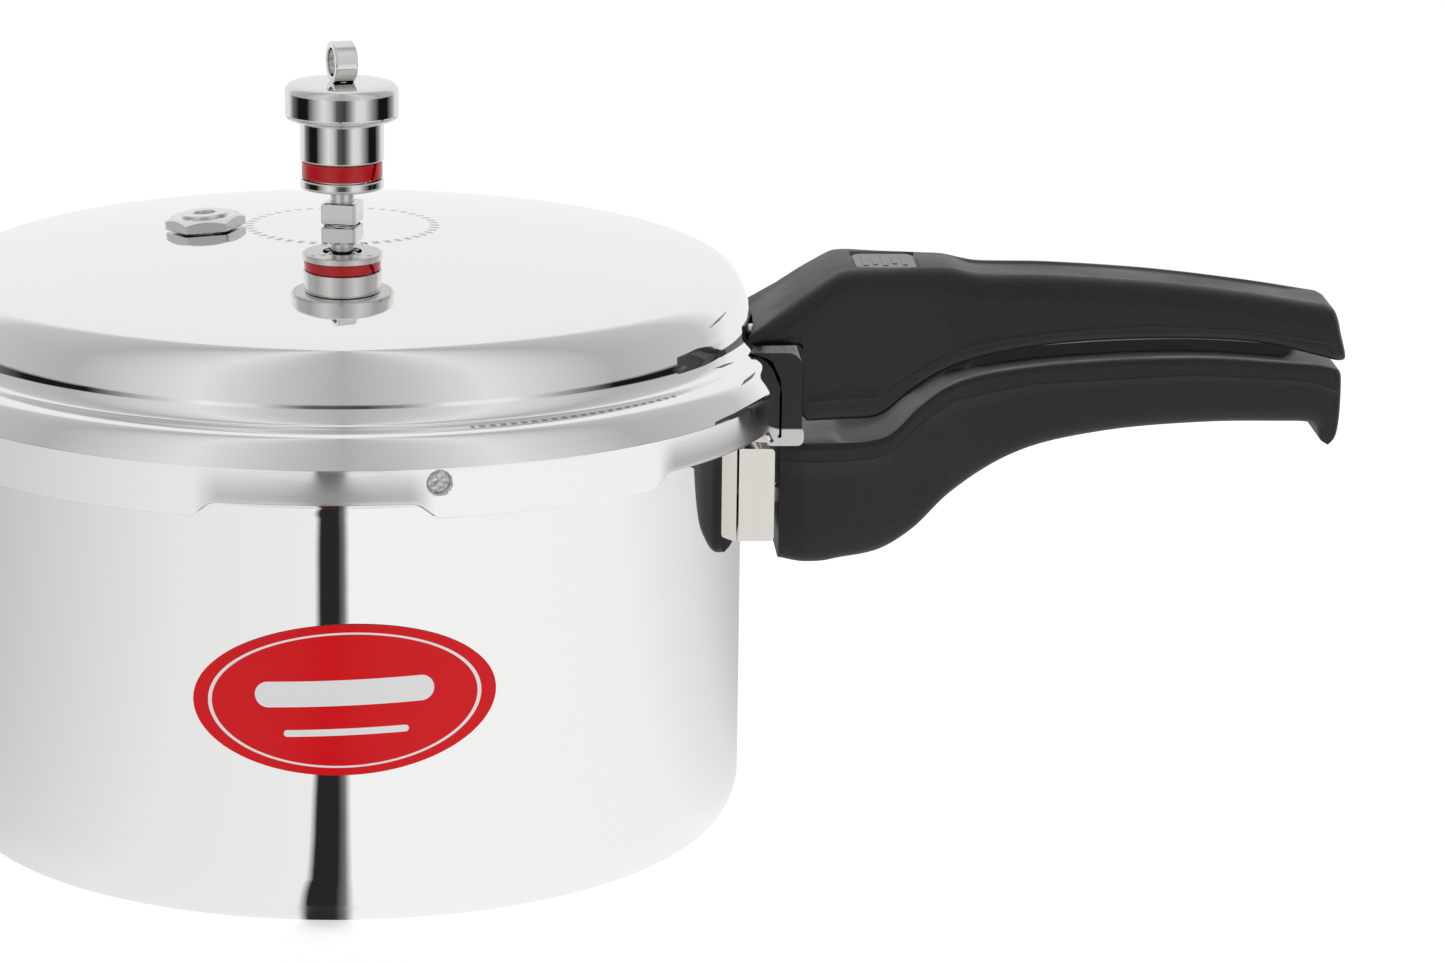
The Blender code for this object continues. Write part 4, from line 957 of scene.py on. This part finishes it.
def makeWeight(look):
    lift = Matrix.Translation((0, 0, look["base"]))
    body = filletPath(look["body"], 4, 3, closed=True)
    grid = placed(turned(body[:, 0], body[:, 1], around(128)), lift)
    makePiece("weightBody", [(grid, True, True)], turnedSteel, "weight", ["weight_body"])
    cap = filletPath(look["cap"], 8, 3, closed=True)
    grid = placed(turned(cap[:, 0], cap[:, 1], around(128)), lift)
    makePiece("weightCap", [(grid, True, True)], turnedSteel, "weight", ["weight_cap"])
    ring = look["ring"]
    section = filletPath([(ring["inner"], ring["low"]), (ring["outer"], ring["low"], 0.0003),
                          (ring["outer"], ring["high"], 0.0003), (ring["inner"], ring["high"])], 4, 2,
                         closed=True)
    # open ring, each end cut on a slant: the azimuth there leans with the height
    share = np.linspace(0, 1, 97)[:, None]
    slant = 9.0 * (section[:, 1] - ring["low"]) / (ring["high"] - ring["low"]) - 4.5
    azimuth = ring["split"] + ring["gap"] + share * (360 - 2 * ring["gap"]) + slant[None, :]
    angle = np.radians(azimuth)
    radius = section[:, 0][None, :]
    grid = np.stack((radius * np.sin(angle), -radius * np.cos(angle), section[:, 1][None, :] + 0 * angle),
                    axis=-1)
    ends = [grid[k].mean(axis=0)[None, None, :] + 0 * grid[k][None] for k in (0, -1)]
    grid = placed(np.concatenate((ends[0], grid, ends[1])), lift)
    makePiece("weightRing", [(grid, False, True)], ringPlastic, "weight", ["weight_ring"])
    loop = look["loop"]
    section = filletPath([(loop["inner"], -loop["half"], 0.0003), (loop["outer"], -loop["half"], 0.0003),
                          (loop["outer"], loop["half"], 0.0003), (loop["inner"], loop["half"], 0.0003)], 4, 2,
                         closed=True)
    place = Matrix.Translation((0, 0, look["base"] + loop["height"]))
    place = place @ Matrix.Rotation(math.radians(loop["turn"]), 4, "Z")
    place = place @ Matrix.Rotation(math.radians(90), 4, "Y")
    grid = placed(turned(section[:, 0], section[:, 1], around(96)), place)
    # a drop of weld joins it to the cap
    bead = filletPath([(0, 0.0254), (0.0021, 0.0254), (0.0016, 0.0262, 0.0004), (0, 0.0263)], 4, 1)
    bead = placed(turned(bead[:, 0], bead[:, 1], around(40)), lift)
    return makePiece("fingerLoop", [(grid, True, True), (bead, True, False)], turnedSteel, "weight",
                     ["finger_loop"])


makeWeight(weight)
print("weight made")


# small CAD parts keep their shape and take a finer finish

finishes = {
    "lid_gasket": rubber,
    "body_bracket_rivet_1": platedSteel, "body_bracket_rivet_2": platedSteel,
    "lid_bracket_rivet_1": platedSteel, "lid_bracket_rivet_2": platedSteel,
    "body_handle_screw": platedSteel, "body_handle_washer": platedSteel, "body_handle_insert": brassMetal,
    "lid_handle_screw": platedSteel, "lid_handle_washer": platedSteel, "lid_handle_insert": brassMetal,
    "vent_washer": platedSteel, "vent_nut": platedSteel,
    "safety_plug_washer": platedSteel, "safety_plug_nut": platedSteel,
    "weight_needle": turnedSteel, "weight_clip": turnedSteel,
}

for nodeName, finish in finishes.items():
    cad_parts[nodeName].data.materials.clear()
    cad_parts[nodeName].data.materials.append(finish)
    # handle fasteners stay out of mirror images
    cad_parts[nodeName].visible_glossy = "handle" not in nodeName


# studio: the camera sees plain white; every other ray sees bands of brightness by azimuth; no lamps

studio = {
    "floorRadius": 0.66, "innerFloor": 0.57,
    "facing": 0.7,           # azimuth of the side that faces the camera
    # (azimuth from the camera's side, brightness): the floor, the horizon's dark gaps, and all above them
    "floor": [(-180, 0.50), (-140, 0.50), (-111, 0.58), (-72, 0.74), (-41, 0.88), (-6.9, 0.93), (-6.3, 0.022),
              (-0.1, 0.022), (0.5, 1.0), (75, 0.98), (107, 0.80), (128, 0.62), (140, 0.55), (180, 0.50)],
    "horizon": [(-180, 0.95), (-132, 0.92), (-116, 0.20), (-98, 0.01), (-74, 0.01), (-54, 0.55), (-38, 0.95),
                (-24, 0.75), (-10, 0.12), (6, 0.06), (16, 0.30), (30, 0.92), (46, 0.90), (64, 0.35), (80, 0.01),
                (104, 0.01), (122, 0.40), (136, 0.92), (180, 0.95)],
    "above": [(-180, 0.93), (-135, 0.93), (-120, 0.60), (-80, 0.48), (-60, 0.66), (-40, 0.82), (-18, 0.60),
              (0, 0.47), (18, 0.60), (40, 0.82), (60, 0.66), (80, 0.48), (120, 0.60), (135, 0.93),
              (180, 0.93)],
}


def bandStops(look, band):
    # azimuths in degrees become places from 0 to 1 round the ramp
    return [(angle / 360 + 0.5, grey(level)) for angle, level in look[band]]


def roundAngle(tree, place, facing):
    # share of a turn, a half on the side that faces the camera
    turned_ = addNode(tree, "VectorRotate", [("Vector", place), ("Angle", -math.radians(facing))],
                      rotation_type="Z_AXIS")
    axes = addNode(tree, "SeparateXYZ", [("Vector", turned_.outputs[0])])
    back = addNode(tree, "Math", [(0, axes.outputs["Y"]), (1, -1.0)], operation="MULTIPLY")
    angle = addNode(tree, "Math", [(0, axes.outputs["X"]), (1, back.outputs[0])], operation="ARCTAN2")
    return addNode(tree, "MapRange", [("Value", angle.outputs[0]), ("From Min", -math.pi),
                                      ("From Max", math.pi)]).outputs[0], axes.outputs["Z"]


def makeWorld(look):
    world = bpy.data.worlds.new("studio")
    bpy.context.scene.world = world
    world.use_nodes = True
    tree = world.node_tree
    tree.nodes.clear()
    way = addNode(tree, "TexCoord").outputs["Generated"]
    place, up = roundAngle(tree, way, look["facing"])
    horizon = addNode(tree, "ValToRGB", [("Fac", place)], stops=bandStops(look, "horizon"))
    above = addNode(tree, "ValToRGB", [("Fac", place)], stops=bandStops(look, "above"))
    path = addNode(tree, "LightPath")
    share = addNode(tree, "MapRange", [("Value", up), ("From Min", -0.14), ("From Max", -0.11)])
    whole = addNode(tree, "Mix", [(0, share.outputs[0]), (6, horizon.outputs[0]), (7, above.outputs[0])],
                    data_type="RGBA")
    seen = addNode(tree, "Background", [("Color", grey(1.0))])
    mirrored = addNode(tree, "Background", [("Color", whole.outputs[2])])
    both = addNode(tree, "MixShader", [(0, path.outputs["Is Camera Ray"]), (1, mirrored.outputs[0]),
                                       (2, seen.outputs[0])])
    addNode(tree, "OutputWorld", [("Surface", both.outputs[0])])


def makeFloor(look):
    # a disc that glows: plain white to the camera, banded by azimuth to every other ray
    share = np.array([0.0, 0.25, 0.5, 1.0])[:, None] * look["floorRadius"]
    angle = np.radians(around(96))[None, :]
    grid = np.stack((share * np.cos(angle), share * np.sin(angle), -0.0004 + 0 * share * angle), axis=-1)
    mesh = bpy.data.meshes.new("studioFloor")
    index = np.arange(grid.shape[0] * grid.shape[1]).reshape(grid.shape[:2])
    index = np.hstack((index, index[:, :1]))
    quads = np.stack((index[:-1, :-1], index[1:, :-1], index[1:, 1:], index[:-1, 1:]), axis=-1).reshape(-1, 4)
    mesh.from_pydata(grid.reshape(-1, 3).tolist(), [], quads.tolist())
    floor = bpy.data.objects.new("studioFloor", mesh)
    bpy.context.scene.collection.objects.link(floor)
    made = bpy.data.materials.new("whitePaper")
    made.use_nodes = True
    tree = made.node_tree
    tree.nodes.clear()
    spot = addNode(tree, "TexCoord").outputs["Object"]
    place, _ = roundAngle(tree, spot, look["facing"])
    bands = addNode(tree, "ValToRGB", [("Fac", place)], stops=bandStops(look, "floor"))
    outer = addNode(tree, "ValToRGB", [("Fac", place)], stops=bandStops(look, "above"))
    apart = addNode(tree, "VectorMath", [(0, spot)], operation="LENGTH").outputs["Value"]
    share = addNode(tree, "MapRange", [("Value", apart), ("From Min", look["innerFloor"] - 0.01),
                                       ("From Max", look["innerFloor"] + 0.01)])
    bands = addNode(tree, "Mix", [(0, share.outputs[0]), (6, bands.outputs[0]), (7, outer.outputs[0])],
                    data_type="RGBA")
    mirrored = addNode(tree, "Emission", [("Color", bands.outputs[2])])
    paper = addNode(tree, "BsdfDiffuse", [("Color", grey(0.7))])
    glow = addNode(tree, "Emission", [("Color", grey(0.62))])
    seen = addNode(tree, "AddShader", [(0, paper.outputs[0]), (1, glow.outputs[0])])
    straight = addNode(tree, "LightPath").outputs["Is Camera Ray"]
    both = addNode(tree, "MixShader", [(0, straight), (1, mirrored.outputs[0]), (2, seen.outputs[0])])
    addNode(tree, "OutputMaterial", [("Surface", both.outputs[0])])
    mesh.materials.append(made)


makeWorld(studio)
makeFloor(studio)


# camera: distance from the pot's axis and height in metres, angles in degrees

view = {
    "distance": 1.2849, "height": 0.4032, "azimuth": 0.69,
    "pitch": 13.951, "yaw": 4.129, "roll": 0.775, "lens": 134.86,
}


def makeCamera(look):
    # forward comes from yaw and pitch, right is level, both are rolled about forward and turned to the azimuth
    yaw, pitch, roll = (math.radians(look[key]) for key in ("yaw", "pitch", "roll"))
    forward = Vector((math.sin(yaw) * math.cos(pitch), math.cos(yaw) * math.cos(pitch), -math.sin(pitch)))
    level = Vector((math.cos(yaw), -math.sin(yaw), 0))
    upright = level.cross(forward)
    right = math.cos(roll) * level + math.sin(roll) * upright
    up = math.cos(roll) * upright - math.sin(roll) * level
    pose = Matrix((right, up, -forward)).transposed().to_4x4()
    pose.translation = (0, -look["distance"], look["height"])
    camera = bpy.data.cameras.new("camera")
    camera.lens = look["lens"]
    camera.sensor_width = 36.0
    made = bpy.data.objects.new("camera", camera)
    bpy.context.scene.collection.objects.link(made)
    made.matrix_world = Matrix.Rotation(math.radians(look["azimuth"]), 4, "Z") @ pose
    bpy.context.scene.camera = made


makeCamera(view)
bpy.context.scene.view_settings.view_transform = "Standard"
print("studio and camera made")
